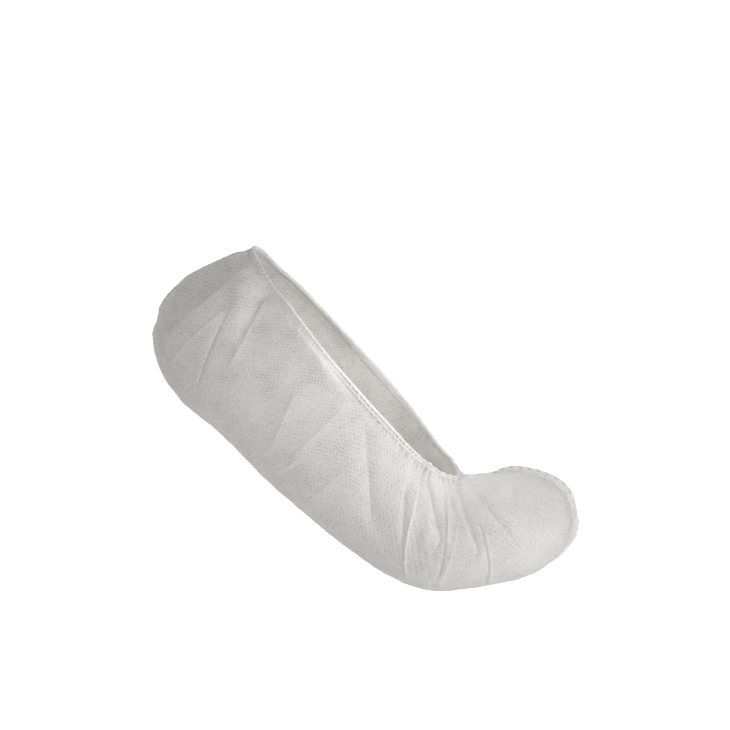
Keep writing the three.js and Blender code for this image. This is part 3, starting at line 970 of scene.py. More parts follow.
@dataclass
class OverlockSeam:
    """An overlocked edge that stands on the cloth in the middle plane, with its threads.

    Attributes:
        name: name of the piece.
        node: CAD node that it stands for.
        stands: its stand along the run.
        points: even points of its base on the cloth, in metres.
        thickness: at the base, in metres.
        pitch: distance of the overlock stitches, in metres.
        lean: how far a thread leans forward from base to edge, as a share of the pitch.
        sink: how far its base goes into the cloth, in metres.
        sway: how far the edge waves to the sides, in metres.
        seed: of the wave.
        plain: share of the run beyond which the painted shade on the edge between its stitches mostly fades.
        shade: how dark the painted shade in the crease at its base is.
        roof: share of its stand that the cloth rises to meet it.
        needle: how dark the painted shade in its needle holes in the cloth is.
        taper: share of the run in which each end runs out.
        crown: rise of the threads over the edge, in millimetres.
        section: sides, -1 near to 1 far, and levels, 0 base to 1 edge, of the points round it.
        row_step: distance of these points on the flat cloth, in metres.
    """

    name: str
    node: str
    stands: tuple[Stand, ...]
    points: Rows
    thickness: float = 0.0010
    pitch: float = 0.0023
    lean: float = 0.12
    sink: float = 0.0006
    sway: float = 0.0005
    seed: float = 1.0
    plain: float = 1.1
    shade: float = 0.25
    roof: float = 0.12
    needle: float = 0.6
    taper: float = 0.06
    crown: float = 0.3
    section: tuple[tuple[float, float], ...] = (
        (-1, 0.0), (-1, 0.3), (-1, 0.62), (-0.95, 0.88), (-0.45, 1.0),
        (0.45, 1.0), (0.95, 0.88), (1, 0.62), (1, 0.3), (1, 0.0),
    )
    row_step: float = 0.0008

    def step(self) -> float:
        """Distance of its points, in metres."""
        return float(np.linalg.norm(self.points[1] - self.points[0]))

    def stitch_gap_shade(self, run: float, share: float, level: float) -> float:
        """How dark the painted shade on the edge is, between its stitches and in the crease at its base.

        Args:
            run: length along the base, in metres.
            share: of the whole run.
            level: from 0, base, to 1, edge.

        Returns:
            From 0, under a stitch, to 1.
        """
        between = 0.5 - 0.5 * math.cos(math.tau * (run / self.pitch - self.lean))
        marked = 1.0 - 0.8 * float(ramp(share, self.plain, self.plain + 0.06))
        top = float(ramp(level, 0.5, 0.8)) * between * marked
        base = 1.0 - float(ramp(level, 0.0, 0.35))
        return min(1.0, 0.55 * top + self.shade * base)

    def stand(self, share: float) -> float:
        """Height of the edge above the cloth.

        Args:
            share: of the whole run.

        Returns:
            The stand, in metres.
        """
        k = min(len(self.stands) - 2, sum(row.at < share for row in self.stands[1:]))
        a, b = self.stands[k], self.stands[k + 1]
        stand = a.stand + (b.stand - a.stand) * float(ramp(share, a.at, b.at))
        runout = float(ramp(share, 0.0, self.taper) * ramp(1.0 - share, 0.0, self.taper))
        return (stand + self.crown) * runout * MM

    def spot(self, at: float, side: float, level: float) -> Rows:
        """Place on the edge.

        Args:
            at: point number with a fraction.
            side: from -1, near face, to 1, far face.
            level: from 0, base, to 1, edge.

        Returns:
            The place, in metres.
        """
        last = len(self.points) - 1
        at = min(float(last), max(0.0, at))
        k = min(last - 1, int(at))
        base = self.points[k] + (self.points[k + 1] - self.points[k]) * (at - k)
        along = unit(self.points[min(last, k + 2)] - self.points[max(0, k - 1)])
        out = np.array((-along[2], 0.0, along[0]))
        sway = self.sway * noise.noise(Vector((at * 0.13, self.seed, 0.0))) * level
        half = self.thickness / 2 * (1.0 - 0.25 * level + 0.7 * max(0.0, 0.4 - level))
        place = base + out * (-self.sink + (self.stand(at / last) + self.sink) * level)
        place[1] = side * half + sway
        return place

    def beside(self, points: Rows) -> tuple[Rows, Rows, Rows]:
        """Measures places on the cloth from the seam.

        Args:
            points: in millimetres.

        Returns:
            Distance from its base and its stand there, in millimetres, and stitches along it.
        """
        near, away = LineFinder(self.points).find(points)
        last = len(self.points) - 1
        stand = np.array([self.stand(k / last) for k in range(last + 1)])[near] / MM
        return away, stand, near * self.step() / self.pitch

    def build(self, cloth: Finish, thread: Finish) -> tuple[Piece, Piece]:
        """Makes the edge and its stitches.

        Args:
            cloth: finish of the edge.
            thread: finish of the stitches.

        Returns:
            The edge and the stitches.
        """
        last = len(self.points) - 1
        bm = bmesh.new()
        pit_shade = bm.verts.layers.float.new(PIT_SHADE_MAP)
        places = lay_grid(bm, last, len(self.section) - 1)
        lay_flat(bm, places, SEAM_STEP, self.row_step)
        for vert, (column, row) in places.items():
            side, level = self.section[row]
            # Painted shade between the stitches and in the crease at the base.
            vert[pit_shade] = self.stitch_gap_shade(column * self.step(), column / last, level)
            vert.co = self.spot(column, side, level)
        bmesh.ops.holes_fill(bm, edges=[e for e in bm.edges if e.is_boundary], sides=0)
        bmesh.ops.recalc_face_normals(bm, faces=bm.faces)
        return new_piece(self.name, bm, cloth, self.node), self.build_threads(thread)

    def build_threads(self, finish: Finish, base: float = 0.28, dash: float = 0.24) -> Piece:
        """Lays the overlock ladder over both faces and the needle line at the base.

        Args:
            finish: of the thread.
            base: level at which the ladder starts.
            dash: level to which a needle dash falls.

        Returns:
            The stitches.
        """
        bm = bmesh.new()
        thread = Thread()
        jump = self.pitch / self.step()
        proud = 1.0 + 1.1 * thread.radius / (self.thickness / 2)
        for at in (k * jump for k in range(int((len(self.points) - 1) / jump))):
            tips = [self.spot(at + self.lean * jump, side * 0.9, 1.0) for side in (-proud, proud)]
            for side, tip in zip((-proud, proud), tips):
                start = self.spot(at, side, base)
                thread.lay(bm, start, tip)
                thread.lay(bm, tip, self.spot(at + jump, side, base))
                thread.lay(bm, start, self.spot(at + 0.82 * jump, side, dash))
            thread.lay(bm, *tips)
        return new_piece(self.name + "_threads", bm, finish)


@dataclass
class Rim:
    """Edge of the opening, as a closed line of points.

    Attributes:
        points: places in metres.
        normals: outward directions of the cloth.
        run: length from the throat, in metres, negative on the near side.
    """

    points: Rows
    normals: Rows
    run: Rows


@dataclass
class Rings(Rim):
    """The rim at even steps, with the directions out of the cloth's edge."""

    up: Rows


@dataclass(frozen=True)
class Crumple:
    """One size of the cloth's uneven surface, in millimetres, with its place in the noise."""

    size: float
    height: float
    shift: Triple


CRUMPLES: tuple[Crumple, ...] = (
    Crumple(34, 0.55, (0.0, 0.0, 4.0)),
    Crumple(15, 0.28, (9.0, 0.0, 0.0)),
    Crumple(4.2, 0.05, (0.0, 0.0, 7.0)),
)


@dataclass
class SockBody:
    """The sheet of cloth, turned over at the sole, worn, in millimetres where a line doesn't say metres.

    Attributes:
        form: its smooth form.
        field: its folds.
        seams: the seams that close it.
        near_rows, far_rows: mesh rows from the sole line to the near and the far edge.
        passes: how often the mesh is split where it has to be fine.
        fine_edge, band_edge: longest mesh edges along creases, and below the hem and beside seams.
        rim_band, seam_band: width of the fine mesh below the hem and beside a seam.
        rim_run: how far it goes from the throat to each side, in metres.
        wall: thickness of the cloth, in metres.
        fold_limits: lowest and highest place that folds may reach.
        pucker_pitch, pucker_height: distance of the puckers, and their height at the throat.
        stitch_pitch: distance of the small puckers right below the hem.
        gather_reach: distance from the throat in which the cloth is drawn whiter.
        roof_reach, seam_reach: distances from a seam in which the cloth rises, and feels its pull.
        nip, needle: depth of the crease at a seam's base and of the needle dimples beside it.
        bias_from, bias_width: where the dots start to turn at the toe panel, and over what distance.
        flat_width, flat_length: of the cut sheet, in metres; not used.
    """

    form: SockForm
    field: FoldField
    seams: Sequence[OverlockSeam]
    near_rows: int = 60
    far_rows: int = 32
    passes: int = 3
    fine_edge: float = 0.5
    band_edge: float = 0.85
    rim_band: float = 5.0
    seam_band: float = 2.6
    rim_run: float = 0.075
    wall: float = 0.00035
    fold_limits: tuple[float, float] = (-2.8, 4.4)
    pucker_pitch: float = 4.4
    pucker_height: float = 0.7
    stitch_pitch: float = 2.3
    gather_reach: float = 35.0
    roof_reach: float = 3.2
    seam_reach: float = 20.0
    nip: float = 0.5
    needle: float = 0.35
    bias_from: float = 29.0
    bias_width: float = 10.0
    flat_width: float = 0.22
    flat_length: float = 0.32

    def lay_cloth(self, bm: Mesh) -> None:
        """Starts from a flat grid and lays it round the smooth form.

        Args:
            bm: empty mesh that gets the cloth.
        """
        columns = [index + k / section.columns
                   for index, section in enumerate(self.form.sections) for k in range(section.columns)]
        columns.append(float(self.form.tip))
        near = np.linspace(-1.0, 0.0, self.near_rows, endpoint=False)
        across = np.concatenate((near, np.linspace(0.0, 1.0, self.far_rows + 1)))
        lines = [self.form.line(at, across) for at in columns]
        points = np.stack([line[0] for line in lines])
        flats = np.stack([line[1] for line in lines]) * MM
        points[-1] = points[-1].mean(axis=0)
        uv = bm.loops.layers.uv.new(FLAT_MAP)
        places = lay_grid(bm, len(columns) - 1, self.near_rows + self.far_rows)
        for face in bm.faces:
            far = max(places[vert][1] for vert in face.verts) > self.near_rows
            for loop in face.loops:
                place = places[loop.vert]
                shift = FAR_FLAT * MM if far and place[1] == self.near_rows else 0.0
                loop[uv].uv = flats[place] + (shift, 0.0)
        for vert, place in places.items():
            vert.co = points[place] * MM
        bmesh.ops.remove_doubles(bm, verts=bm.verts, dist=4e-6)
        bmesh.ops.recalc_face_normals(bm, faces=bm.faces)
        bm.normal_update()

    def rim_verts(self, bm: Mesh) -> list[Vert]:
        """Vertices of the opening in order, from the throat along the near side.

        Args:
            bm: the cloth.

        Returns:
            The vertices.
        """
        edge_verts = dict.fromkeys(v for e in bm.edges if e.is_boundary for v in e.verts)
        start = min(edge_verts, key=lambda v: (v.co.z, v.co.y))
        loop = [start]
        nexts = [e.other_vert(start) for e in start.link_edges if e.is_boundary]
        step = min(nexts, key=lambda v: v.co.y)
        while step is not start:
            loop.append(step)
            step = next(e.other_vert(step) for e in step.link_edges
                        if e.is_boundary and e.other_vert(step) is not loop[-2])
        return loop

    def read_rim(self, bm: Mesh) -> Rim:
        """Measures the opening's edge.

        Args:
            bm: the cloth.

        Returns:
            The rim.
        """
        loop = self.rim_verts(bm)
        points = np.array([v.co for v in loop])
        normals = unit(rolling_mean(np.array([v.normal for v in loop]), 3))
        run = run_along(np.concatenate((points, points[:1])))
        return Rim(points, normals, np.where(run > run[-1] / 2, run[-1] - run, -run)[:-1])

    def refine(self, bm: Mesh, rim: Rim) -> None:
        """Splits the faces along creases, below the hem and beside the seams.

        Args:
            bm: the smooth cloth.
            rim: the opening's edge.
        """
        edge_line = LineFinder(rim.points)
        seam_lines = [LineFinder(seam.points) for seam in self.seams]
        for _ in range(self.passes):
            longest = [max(e.calc_length() for e in f.edges) / MM for f in bm.faces]
            faces = [f for f, length in zip(bm.faces, longest) if length > self.fine_edge]
            coarse = np.array([length > self.band_edge for length in longest if length > self.fine_edge])
            middles = np.array([f.calc_center_median() for f in faces]) / MM
            wanted = self.field.sharp(middles)
            index, away = edge_line.find(middles)
            wanted |= coarse & (away < self.rim_band) & (np.abs(rim.run[index]) < self.rim_run)
            for line in seam_lines:
                wanted |= coarse & (line.find(middles)[1] < self.seam_band) & (middles[:, 1] < 1.0)
            edges = dict.fromkeys(e for face, flag in zip(faces, wanted) if flag for e in face.edges)
            bmesh.ops.subdivide_edges(bm, edges=list(edges), cuts=1, use_grid_fill=True)
        bm.normal_update()

    def puckers(self, points: Rows, rim: Rim) -> tuple[Rows, Rows, Rows]:
        """Small gathers that the elastic draws into the cloth.

        Args:
            points: of the smooth form, in millimetres.
            rim: the opening's edge.

        Returns:
            One height in millimetres, one share of whiter cloth, drawn together and with painted highlight on
            the pucker crests, and one strength of painted shade between the puckers per point.
        """
        near, away = LineFinder(rim.points).find(points)
        run = rim.run[near] / MM
        off = np.abs(run)
        drift = waver(run, 0.06, 3.1, 0.7)
        swell = waver(run, 0.11, 8.3, 2.2)
        patchy = waver(run, 0.45, 5.9, 1.3)
        # Puckers, higher and longer towards the throat
        wave = np.sin(math.tau * run / self.pucker_pitch + 5.0 * drift)
        strength = self.pucker_height * (0.1 + 0.9 * ramp(off, 75.0, 20.0)) * (1.0 + 0.8 * swell)
        reach = 4.0 + 9.0 * ramp(off, 60.0, 20.0)
        ridge = wave * strength * np.exp(-(away / reach) ** 1.3)
        # Small puckers right below the hem, with painted highlight on their crests and painted shade between
        # them
        small = np.sin(math.tau * run / self.stitch_pitch + 4.0 * swell)
        drawn = ramp(off, 70.0, 25.0) * np.exp(-(away / 4.5) ** 1.5)
        ridge += 0.5 * small * drawn
        bunched_and_highlight = drawn * (0.45 + 0.55 * small)
        pucker_gap_shade = drawn * np.clip(1.8 * patchy - small, 0.0, 1.0) * bell(away, 1.4, 1.2)
        # Fan of gathers ahead of the throat
        throat = rim.points[0] / MM
        forward = points[:, 0] - throat[0]
        radius = np.hypot(points[:, 1], forward)
        angle = np.arctan2(points[:, 1], forward + 6.0)
        fan = np.cos(11.0 * angle + 0.6) * 0.4 * bell(radius, 4.0, 15.0) * ramp(radius, 0.0, 5.0)
        # Where each of them shows: behind the throat, on the near side, on the upper face
        behind = 1.0 - ramp(forward, -1.0, 3.0)
        back = ramp(points[:, 1], -1.0, 5.0)
        above = ramp(points[:, 2] - throat[2], -16.0, -6.0)
        height = ridge * behind * (1.0 - 0.5 * back) + fan * (1.0 - behind) * above
        pucker_gap_shade *= 0.6 * behind * (1.0 - back) * ramp(off, 2.0, 8.0)
        return height, np.clip(bunched_and_highlight, 0.0, 1.0), pucker_gap_shade

    def crumple(self, points: Rows, ridge: float = 0.3) -> Rows:
        """Slack and fine crumple of the thin cloth.

        Args:
            points: of the smooth form, in millimetres.
            ridge: height of the faint ridges that cross it, in millimetres.

        Returns:
            One height per point, in millimetres.
        """
        heights = np.empty(len(points))
        for index, (x, y, z) in enumerate(points):
            fold = 1.0 - 2.0 * abs(noise.noise(Vector(((x + z) / 26, y / 14, (x - z) / 11 + 2.0))))
            heights[index] = ridge * max(0.0, fold) ** 3
            for row in CRUMPLES:
                heights[index] += row.height * noise.noise(Vector((x, y, z)) / row.size + Vector(row.shift))
        return heights

    def sewn(self, points: Rows) -> tuple[Rows, Rows, Rows]:
        """What the seams do to the cloth beside them: a roof with a crease, and needle holes.

        Args:
            points: of the smooth form, in millimetres.

        Returns:
            One height in millimetres, one share of cloth that lies double and one strength of painted shade
            in the needle holes per point.
        """
        total, strip, holes = np.zeros((3, len(points)))
        for seam in self.seams:
            away, stand, stitches = seam.beside(points)
            firm = np.minimum(1.0, stand / 2.0)
            beat = np.cos(math.tau * stitches)
            rise = seam.roof * stand * np.exp(-away / self.roof_reach)
            nip = self.nip * firm * bell(away, 0.0, 0.8)
            dimple = self.needle * firm * (0.5 + 0.5 * beat) * bell(away, 1.8, 0.5)
            total += np.where(away < self.seam_reach, rise - nip - dimple, 0.0)
            strip += firm * bell(away, 1.0, 0.7)
            # Painted shade in the needle holes beside the seam.
            holes += seam.needle * firm * ramp(beat, -0.5, 0.5) * bell(away, 2.2, 0.5)
        return total, strip, holes

    def build(self, finish: Finish, inside: Finish) -> tuple[Piece, Rim, float]:
        """Makes the cloth.

        Args:
            finish: its material.
            inside: the material of its inner face.

        Returns:
            The object, the edge of its opening and the area of its cloth in square metres.
        """
        bm = bmesh.new()
        self.lay_cloth(bm)
        self.refine(bm, self.read_rim(bm))
        smooth_rim = self.read_rim(bm)
        points = np.array([v.co for v in bm.verts]) / MM
        normals = np.array([v.normal for v in bm.verts])
        folds, doubled_and_highlight = self.field.height(points)
        ridges, bunched_and_highlight, pucker_gap_shade = self.puckers(points, smooth_rim)
        pulled, strip, holes = self.sewn(points)
        rise = np.clip(folds + ridges + self.crumple(points), *self.fold_limits) + pulled
        gather = bell(np.linalg.norm(points - smooth_rim.points[0] / MM, axis=1), 0.0, self.gather_reach)
        right = self.field.view_plane(points)[0]
        maps = {
            # Whiter where the cloth lies double or gathered, with painted highlights along fold and pucker
            # crests.
            DOUBLE_AND_HIGHLIGHT_MAP: np.clip(np.maximum(doubled_and_highlight, 0.9 * gather) + 0.6 * bunched_and_highlight + 0.6 * strip, 0.0, 1.0),
            # Painted shade between the puckers and in the needle holes beside the seams.
            PIT_SHADE_MAP: np.clip(pucker_gap_shade + holes, 0.0, 1.0),
            SLANT_MAP: ramp(right, self.bias_from, self.bias_from + self.bias_width),
        }
        for name, values in maps.items():
            layer = bm.verts.layers.float.new(name)
            for vert, value in zip(bm.verts, values):
                vert[layer] = float(value)
        for vert, place in zip(bm.verts, points + normals * rise[:, None]):
            vert.co = place * MM
        bm.normal_update()
        rim = self.read_rim(bm)
        area = sum(face.calc_area() for face in bm.faces)
        obj = new_piece("sock_cloth", bm, finish, "sock_body")
        obj.data.materials.append(inside)
        wall = obj.modifiers.new("cloth_wall", "SOLIDIFY")
        wall.thickness = self.wall
        wall.offset = -1.0
        wall.material_offset = 1
        return obj, rim, area


@dataclass(frozen=True)
class PitRow:
    """A row of needle pits in the hem.

    Attributes:
        level: from -1, bottom, to 1, top.
        phase: in rungs.
        heel, throat: strength at the heel, and what it gains at the throat.
    """

    level: float
    phase: float
    heel: float
    throat: float


@dataclass
class OpeningHem:
    """The elastic hem round the opening: two puffed ridges between rows of needle pits, in metres.

    Attributes:
        height, overlap: how far it stands above the cloth's edge, and reaches down over it.
        thickness: of its middle.
        inset: how far its middle lies below the outer face of the cloth.
        groove: depth of the grooves.
        rows: its pits.
        full_run: lengths from the throat at which the lower row ends, and is full.
        pit_run, pull_run: lengths at which the elastic starts to pull pits and band, and pulls fully.
        sway, lift: how far it pulls the band to the side and up.
        samples, profile: rings along the opening, and points round each.
        profile_step: distance of these points on the flat cloth.
        outer: share of them on the outer face.
        rung_pitch, puff: distance of the ladder rungs, and height of the puffs between them.
        inner_white: how white the inner face is.
    """

    height: float = 0.0031
    overlap: float = 0.0006
    thickness: float = 0.0014
    inset: float = 0.0002
    groove: float = 0.0006
    rows: tuple[PitRow, ...] = (PitRow(-0.72, 0.45, 0.0, 0.75), PitRow(0.14, 0.0, 0.15, 0.8))
    full_run: tuple[float, float] = (0.112, 0.082)
    pit_run: tuple[float, float] = (0.05, 0.02)
    pull_run: tuple[float, float] = (0.07, 0.02)
    sway: float = 0.0006
    lift: float = 0.0008
    samples: int = 900
    profile: int = 28
    profile_step: float = 0.0003
    outer: float = 0.72
    rung_pitch: float = 0.0025
    puff: float = 0.00025
    inner_white: float = 0.4

    def rings(self, rim: Rim) -> Rings:
        """The rim at even steps.

        Args:
            rim: as read from the cloth.

        Returns:
            One point per ring of the hem.
        """
        run = run_along(np.concatenate((rim.points, rim.points[:1])))
        want = np.linspace(0.0, run[-1], self.samples, endpoint=False)
        points, normals = (read_at(want, run, np.concatenate((rows, rows[:1])))
                           for rows in (rim.points, rim.normals))
        points = rolling_mean(rolling_mean(points, 4), 3)
        normals = unit(rolling_mean(normals, 9))
        along = unit(np.roll(points, -1, axis=0) - np.roll(points, 1, axis=0))
        up = unit(rolling_mean(unit(np.cross(along, normals)), 7))
        signed = np.where(want > run[-1] / 2, run[-1] - want, -want)
        return Rings(points, unit(np.cross(up, along)), signed, up)

    def corner(self, share: float) -> tuple[float, float]:
        """Point of the profile.

        Args:
            share: from 0 to 1 round the profile, up the outer face and down the inner one.

        Returns:
            Distance outwards and level from -1, bottom, to 1, top.
        """
        if share < self.outer:
            level = -1.0 + 2.0 * share / self.outer
            side = 1.0
        else:
            level = 1.0 - 2.0 * (share - self.outer) / (1.0 - self.outer)
            side = -1.0
        bulge = math.sqrt(max(0.0, 1.0 - level ** 4))
        return side * bulge * self.thickness / 2, level

    def full(self, run: float) -> float:
        """How far both rows of the hem show, from 1 at the throat to 0 at the heel."""
        return float(ramp(abs(run), *self.full_run))

    def pit(self, run: float, level: float) -> float:
        """How deep a place lies in a needle pit.

        Args:
            run: along the opening from the throat, in metres.
            level: from -1, bottom, to 1, top.

        Returns:
            From 0, outside the pits, to 1.
        """
        full = self.full(run)
        pull = float(ramp(abs(run), *self.pit_run))
        total = 0.0
        for row in self.rows:
            uneven = noise.noise(Vector((run * 330, row.level * 7.0, 1.7)))
            beat = math.cos(math.tau * (run / self.rung_pitch + row.phase + 0.25 * uneven))
            length = 0.2 + 0.8 * float(ramp(beat + 0.5 * uneven, -0.6, 0.2))
            weight = row.heel + row.throat * full
            strength = weight * (0.85 + (0.5 + 0.6 * pull) * uneven - 0.2 * pull)
            total += max(0.0, strength) * length * float(bell(level, row.level, 0.15))
        return min(1.0, total)

    def white(self, run: float, level: float) -> float:
        """How white a place of the outer face is: whiter where the cloth turned in lies inside it, and
        painted lighter as highlights along its top and, towards the throat, its bottom edge.

        Args:
            run: along the opening from the throat, in metres.
            level: from -1, bottom, to 1, top.

        Returns:
            From 0, as the cloth, to 1.
        """
        top = float(ramp(level, 0.1, 0.5))
        return 0.75 * max(top, self.full(run) * float(ramp(level, -1.0, -0.7)))

    def place(self, frame: Rings, index: int, out: float, level: float) -> Rows:
        """Point of the hem.

        Args:
            frame: the even rim.
            index: ring.
            out: distance outwards from the middle of the hem, in metres.
            level: from -1, bottom, to 1, top.

        Returns:
            The point, in metres.
        """
        run = float(frame.run[index])
        pull = float(ramp(abs(run), *self.pull_run))
        puff = abs(math.sin(math.pi * (run / self.rung_pitch + (0.25 if level > 0 else 0.6))))
        pit = self.groove * self.pit(run, level) if out > 0 else 0.0
        swell = self.puff * (puff - 0.5) * float(bell(abs(level), 0.55, 0.3))
        slim = 1.0 - (0.25 + 0.5 * (1.0 - self.full(run))) * float(ramp(level, 0.35, -0.15))
        up = -self.overlap + (self.height + self.overlap) * (level + 1.0) / 2.0
        sway = pull * self.sway * noise.noise(Vector((run * 210, 4.0, level * 0.5)))
        lift = pull * self.lift * noise.noise(Vector((run * 240, 9.0, 0.0))) * max(0.0, level)
        away = out * slim + math.copysign(swell, out) - pit + sway - self.inset
        return frame.points[index] + frame.normals[index] * away + frame.up[index] * (up + lift)

    def build(self, rim: Rim, finish: Finish) -> tuple[Piece, Rings]:
        """Makes the hem.

        Args:
            rim: the edge of the opening.
            finish: its material.

        Returns:
            The object and the even rim that it follows.
        """
        frame = self.rings(rim)
        bm = bmesh.new()
        pit_shade = bm.verts.layers.float.new(PIT_SHADE_MAP)
        whiter = bm.verts.layers.float.new(DOUBLE_AND_HIGHLIGHT_MAP)
        places = lay_grid(bm, self.samples, self.profile)
        lay_flat(bm, places, float(np.linalg.norm(frame.points[1] - frame.points[0])), self.profile_step)
        for vert, (column, row) in places.items():
            out, level = self.corner(row / self.profile)
            run = float(frame.run[column % self.samples])
            # Painted shade in the needle pits of the outer face.
            vert[pit_shade] = self.pit(run, level) if out > 0 else 0.0
            # Painted highlights along the outer face's edges; the inner face is whiter as cloth that lies
            # double.
            vert[whiter] = self.white(run, level) if out > 0 else self.inner_white
            vert.co = self.place(frame, column % self.samples, out, level)
        bmesh.ops.remove_doubles(bm, verts=bm.verts, dist=2e-6)
        bmesh.ops.recalc_face_normals(bm, faces=bm.faces)
        return new_piece("hem_band", bm, finish, "opening_hem"), frame


@dataclass
class HemStitches:
    """Ladder of thread along the outer face of the hem.

    Attributes:
        levels: of the lower and the upper row on the hem, from -1 to 1.
        length: of a dash as a share of the pitch.
    """

    levels: tuple[float, float] = (-0.3, 0.52)
    length: float = 0.62

    def build(self, hem: OpeningHem, frame: Rings, finish: Finish) -> Piece:
        """Lays the stitches.

        Args:
            hem: the hem that they hold.
            frame: the even rim.
            finish: of the thread.

        Returns:
            The stitches.
        """
        bm = bmesh.new()
        thread = Thread()
        low, high = self.levels
        rings = len(frame.points)
        steps = np.linalg.norm(np.roll(frame.points, -1, axis=0) - frame.points, axis=1)
        jump = hem.rung_pitch / float(steps.mean())
        reach = max(1, round(jump * self.length))
        out = hem.thickness / 2 + 0.4 * thread.radius
        for at in (round(k * jump) % rings for k in range(int(rings / jump))):
            end = (at + reach) % rings
            slant = (at + max(1, reach // 3)) % rings
            for ring, level, start in ((end, low, low), (end, high, high), (slant, high, low)):
                thread.lay(bm, hem.place(frame, at, out, start), hem.place(frame, ring, out, level))
        return new_piece("hem_stitches", bm, finish)


@dataclass(frozen=True)
class Lamp:
    """One square soft light.

    Attributes:
        name: of the light.
        place: where it hangs, in metres.
        side: of the square, in metres.
        watts: power.
        aim: where it points, in metres.
    """

    name: str
    place: Triple
    side: float
    watts: float
    aim: Triple = (0.0, 0.0, -0.03)

    def hang(self) -> None:
        """Adds the light to the scene, unseen by the camera."""
        data = bpy.data.lights.new(self.name, "AREA")
        data.shape = "SQUARE"
        data.size = self.side
        data.energy = self.watts
        obj = bpy.data.objects.new(self.name, data)
        obj.location = self.place
        obj.rotation_mode = "QUATERNION"
        obj.rotation_quaternion = (Vector(self.aim) - Vector(self.place)).to_track_quat("-Z", "Y")
        obj.visible_camera = False
        bpy.context.scene.collection.objects.link(obj)


LAMPS: tuple[Lamp, ...] = (
    Lamp("key", (0.2, -0.26, -0.13), 0.16, 0.33),
    Lamp("side", (0.5, -0.12, -0.06), 0.2, 0.5),
    Lamp("over", (0.35, -0.15, 0.45), 0.4, 0.4, (0.06, 0.0, -0.07)),
    Lamp("crown", (-0.15, -0.05, 0.5), 0.3, 0.06, (-0.06, 0.0, 0.03)),
    Lamp("front", (-0.02, -0.5, 0.08), 0.2, 0.17, (-0.06, 0.0, 0.03)),
    Lamp("throat", (0.045, -0.05, 0.05), 0.06, 0.05, (0.055, -0.02, -0.055)),
)


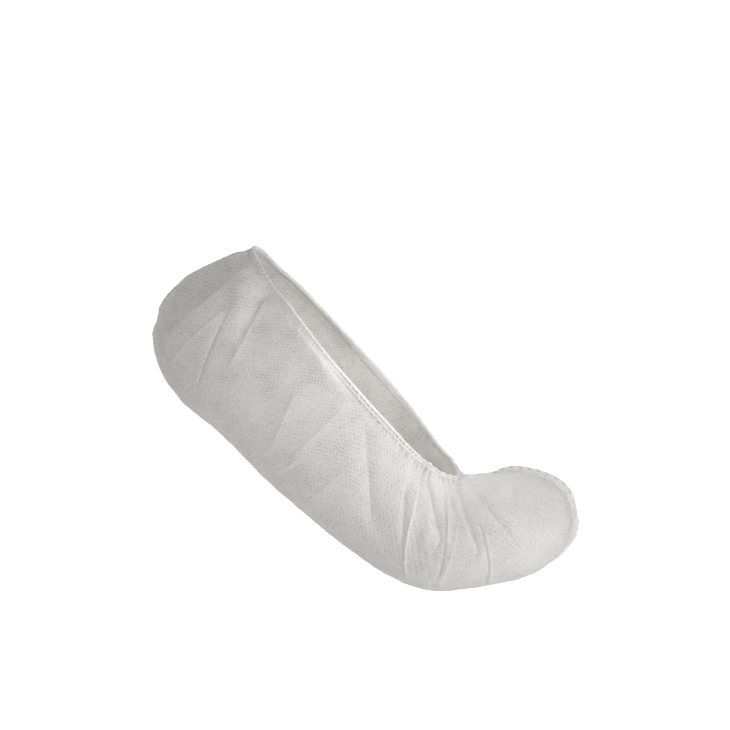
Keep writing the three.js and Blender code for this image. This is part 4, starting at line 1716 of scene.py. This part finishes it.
@dataclass
class Studio:
    """Camera, floor and lights.

    Attributes:
        frame_mm, sensor_mm: widths of the picture at the sock and of the sensor, in millimetres.
        distance: of the camera, in metres.
        aim: where the camera looks, right and up of the middle of the opening, in millimetres.
        floor_z, floor_half: height and half width of the floor, in metres.
        floor_rows: mesh rows along it.
        sweep: distance at which it starts to sweep up, and the radius of the sweep, in metres.
        air_low, air_high: brightness of the air below and above.
        air_back: brightness that the backdrop adds from behind.
    """

    frame_mm: float = 328.5
    sensor_mm: float = 36.0
    distance: float = 1.23
    aim: tuple[float, float] = (2.25, -1.35)
    floor_z: float = -0.1022
    floor_half: float = 12.0
    floor_rows: int = 160
    sweep: float = 1.2
    air_low: float = 0.62
    air_high: float = 0.28
    air_back: float = 0.46

    def camera(self) -> None:
        """Makes the camera at the picture's angle."""
        turn, lift = math.radians(AZIMUTH), math.radians(ELEVATION)
        back = Vector((math.sin(turn) * math.cos(lift), -math.cos(turn) * math.cos(lift), math.sin(lift)))
        right = Vector((math.cos(turn), math.sin(turn), 0.0))
        up = back.cross(right)
        data = bpy.data.cameras.new("camera")
        data.sensor_width = self.sensor_mm
        data.lens = self.sensor_mm * self.distance / (self.frame_mm * MM)
        data.clip_end = 50.0
        obj = bpy.data.objects.new("camera", data)
        bpy.context.scene.collection.objects.link(obj)
        place = right * (self.aim[0] * MM) + up * (self.aim[1] * MM) + back * self.distance
        obj.matrix_world = Matrix.Translation(place) @ Matrix((right, up, back)).transposed().to_4x4()
        bpy.context.scene.camera = obj

    def floor(self) -> None:
        """Makes the pale floor, which sweeps up behind the sock."""
        material = bpy.data.materials.new("studio_white")
        sheet = NodeSheet(material)
        shader = sheet.node("BsdfPrincipled", {
            "Base Color": (0.9, 0.9, 0.9, 1),
            "Roughness": 0.9,
            "Specular IOR Level": 0.1,
            "Emission Color": (1, 1, 1, 1),
            "Emission Strength": 0.85,
        })
        sheet.show(shader.outputs["BSDF"])
        bm = bmesh.new()
        bmesh.ops.create_grid(bm, x_segments=1, y_segments=self.floor_rows, size=self.floor_half)
        for vert in bm.verts:
            turn = max(0.0, vert.co.y / self.sweep - 1.0)
            bend = min(turn, math.pi / 2)
            if turn > 0:
                vert.co.y = self.sweep * (1.0 + math.sin(bend))
            vert.co.z = self.floor_z + self.sweep * (1.0 - math.cos(bend) + turn - bend)
        obj = new_object("studio_floor", bm, material)
        obj.visible_diffuse = False
        obj.visible_glossy = False
        obj.visible_shadow = False

    def lights(self) -> None:
        """Soft light from the right and in front, weaker light from above and even air."""
        for lamp in LAMPS:
            lamp.hang()
        world = bpy.data.worlds.new("studio_air")
        sheet = NodeSheet(world)
        way = sheet.node("SeparateXYZ", {"Vector": sheet.node("TexCoord").outputs["Generated"]}).outputs
        rise = sheet.span(way["Z"], -1.0, 0.8, self.air_low, self.air_high, "LINEAR")
        behind = sheet.span(way["Y"], 0.0, 0.6, 0.0, self.air_back, "LINEAR")
        air = sheet.node("Background", {"Color": (1, 1, 1, 1), "Strength": sheet.math("ADD", rise, behind)})
        sheet.show(air.outputs["Background"], "OutputWorld")
        bpy.context.scene.world = world
        bpy.context.scene.view_settings.view_transform = "Standard"


def main() -> None:
    """Builds the sock around the frame, piece by piece."""
    logging.basicConfig(level=logging.INFO, format="%(message)s")
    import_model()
    studio = Studio()
    studio.camera()
    white, shaded = (0.862, 0.852, 0.837), (0.612, 0.602, 0.592)
    cloth = ClothFinish("spunbond_cloth", white, shaded).make()
    inside = ClothFinish("spunbond_inside", white, shaded, shine_through=0.88, pit_shade_share=0.15).make()
    band = ClothFinish("hem_cloth", (0.87, 0.86, 0.845), (0.7, 0.69, 0.68), depth=0.0001).make()
    edge = ClothFinish("seam_cloth", (0.93, 0.925, 0.91), (0.76, 0.755, 0.74), depth=0.0001,
                       shine_through=0.55).make()
    thread = ThreadFinish("white_thread", (0.93, 0.93, 0.92), (0.8, 0.8, 0.79)).make()
    form = SockForm(SECTIONS)
    seams = (
        OverlockSeam("toe_edge", "toe_seam", TOE_STAND, form.toe_points(), plain=0.5),
        OverlockSeam("heel_edge", "heel_seam", HEEL_STAND, form.heel_points(), seed=5.0, plain=-1.0,
                     shade=0.05, roof=0.4, needle=0.1),
    )
    body = SockBody(form, FoldField(FOLDS), seams)
    sheet, rim, area = body.build(cloth, inside)
    sheet.data.calc_loop_triangles()
    LOG.info("sock_cloth: %d triangles, %.4f m2 of cloth", 2 * len(sheet.data.loop_triangles), area)
    hem = OpeningHem()
    hem_band, frame = hem.build(rim, band)
    LOG.info("hem_band: %d faces", len(hem_band.data.polygons))
    hem_stitches = HemStitches().build(hem, frame, thread)
    LOG.info("hem_stitches: %d faces", len(hem_stitches.data.polygons))
    for seam in seams:
        pieces = seam.build(edge, thread)
        LOG.info("%s: %d faces, %d in its threads", seam.name, *(len(p.data.polygons) for p in pieces))
    studio.floor()
    studio.lights()


if __name__ == "__main__":
    main()
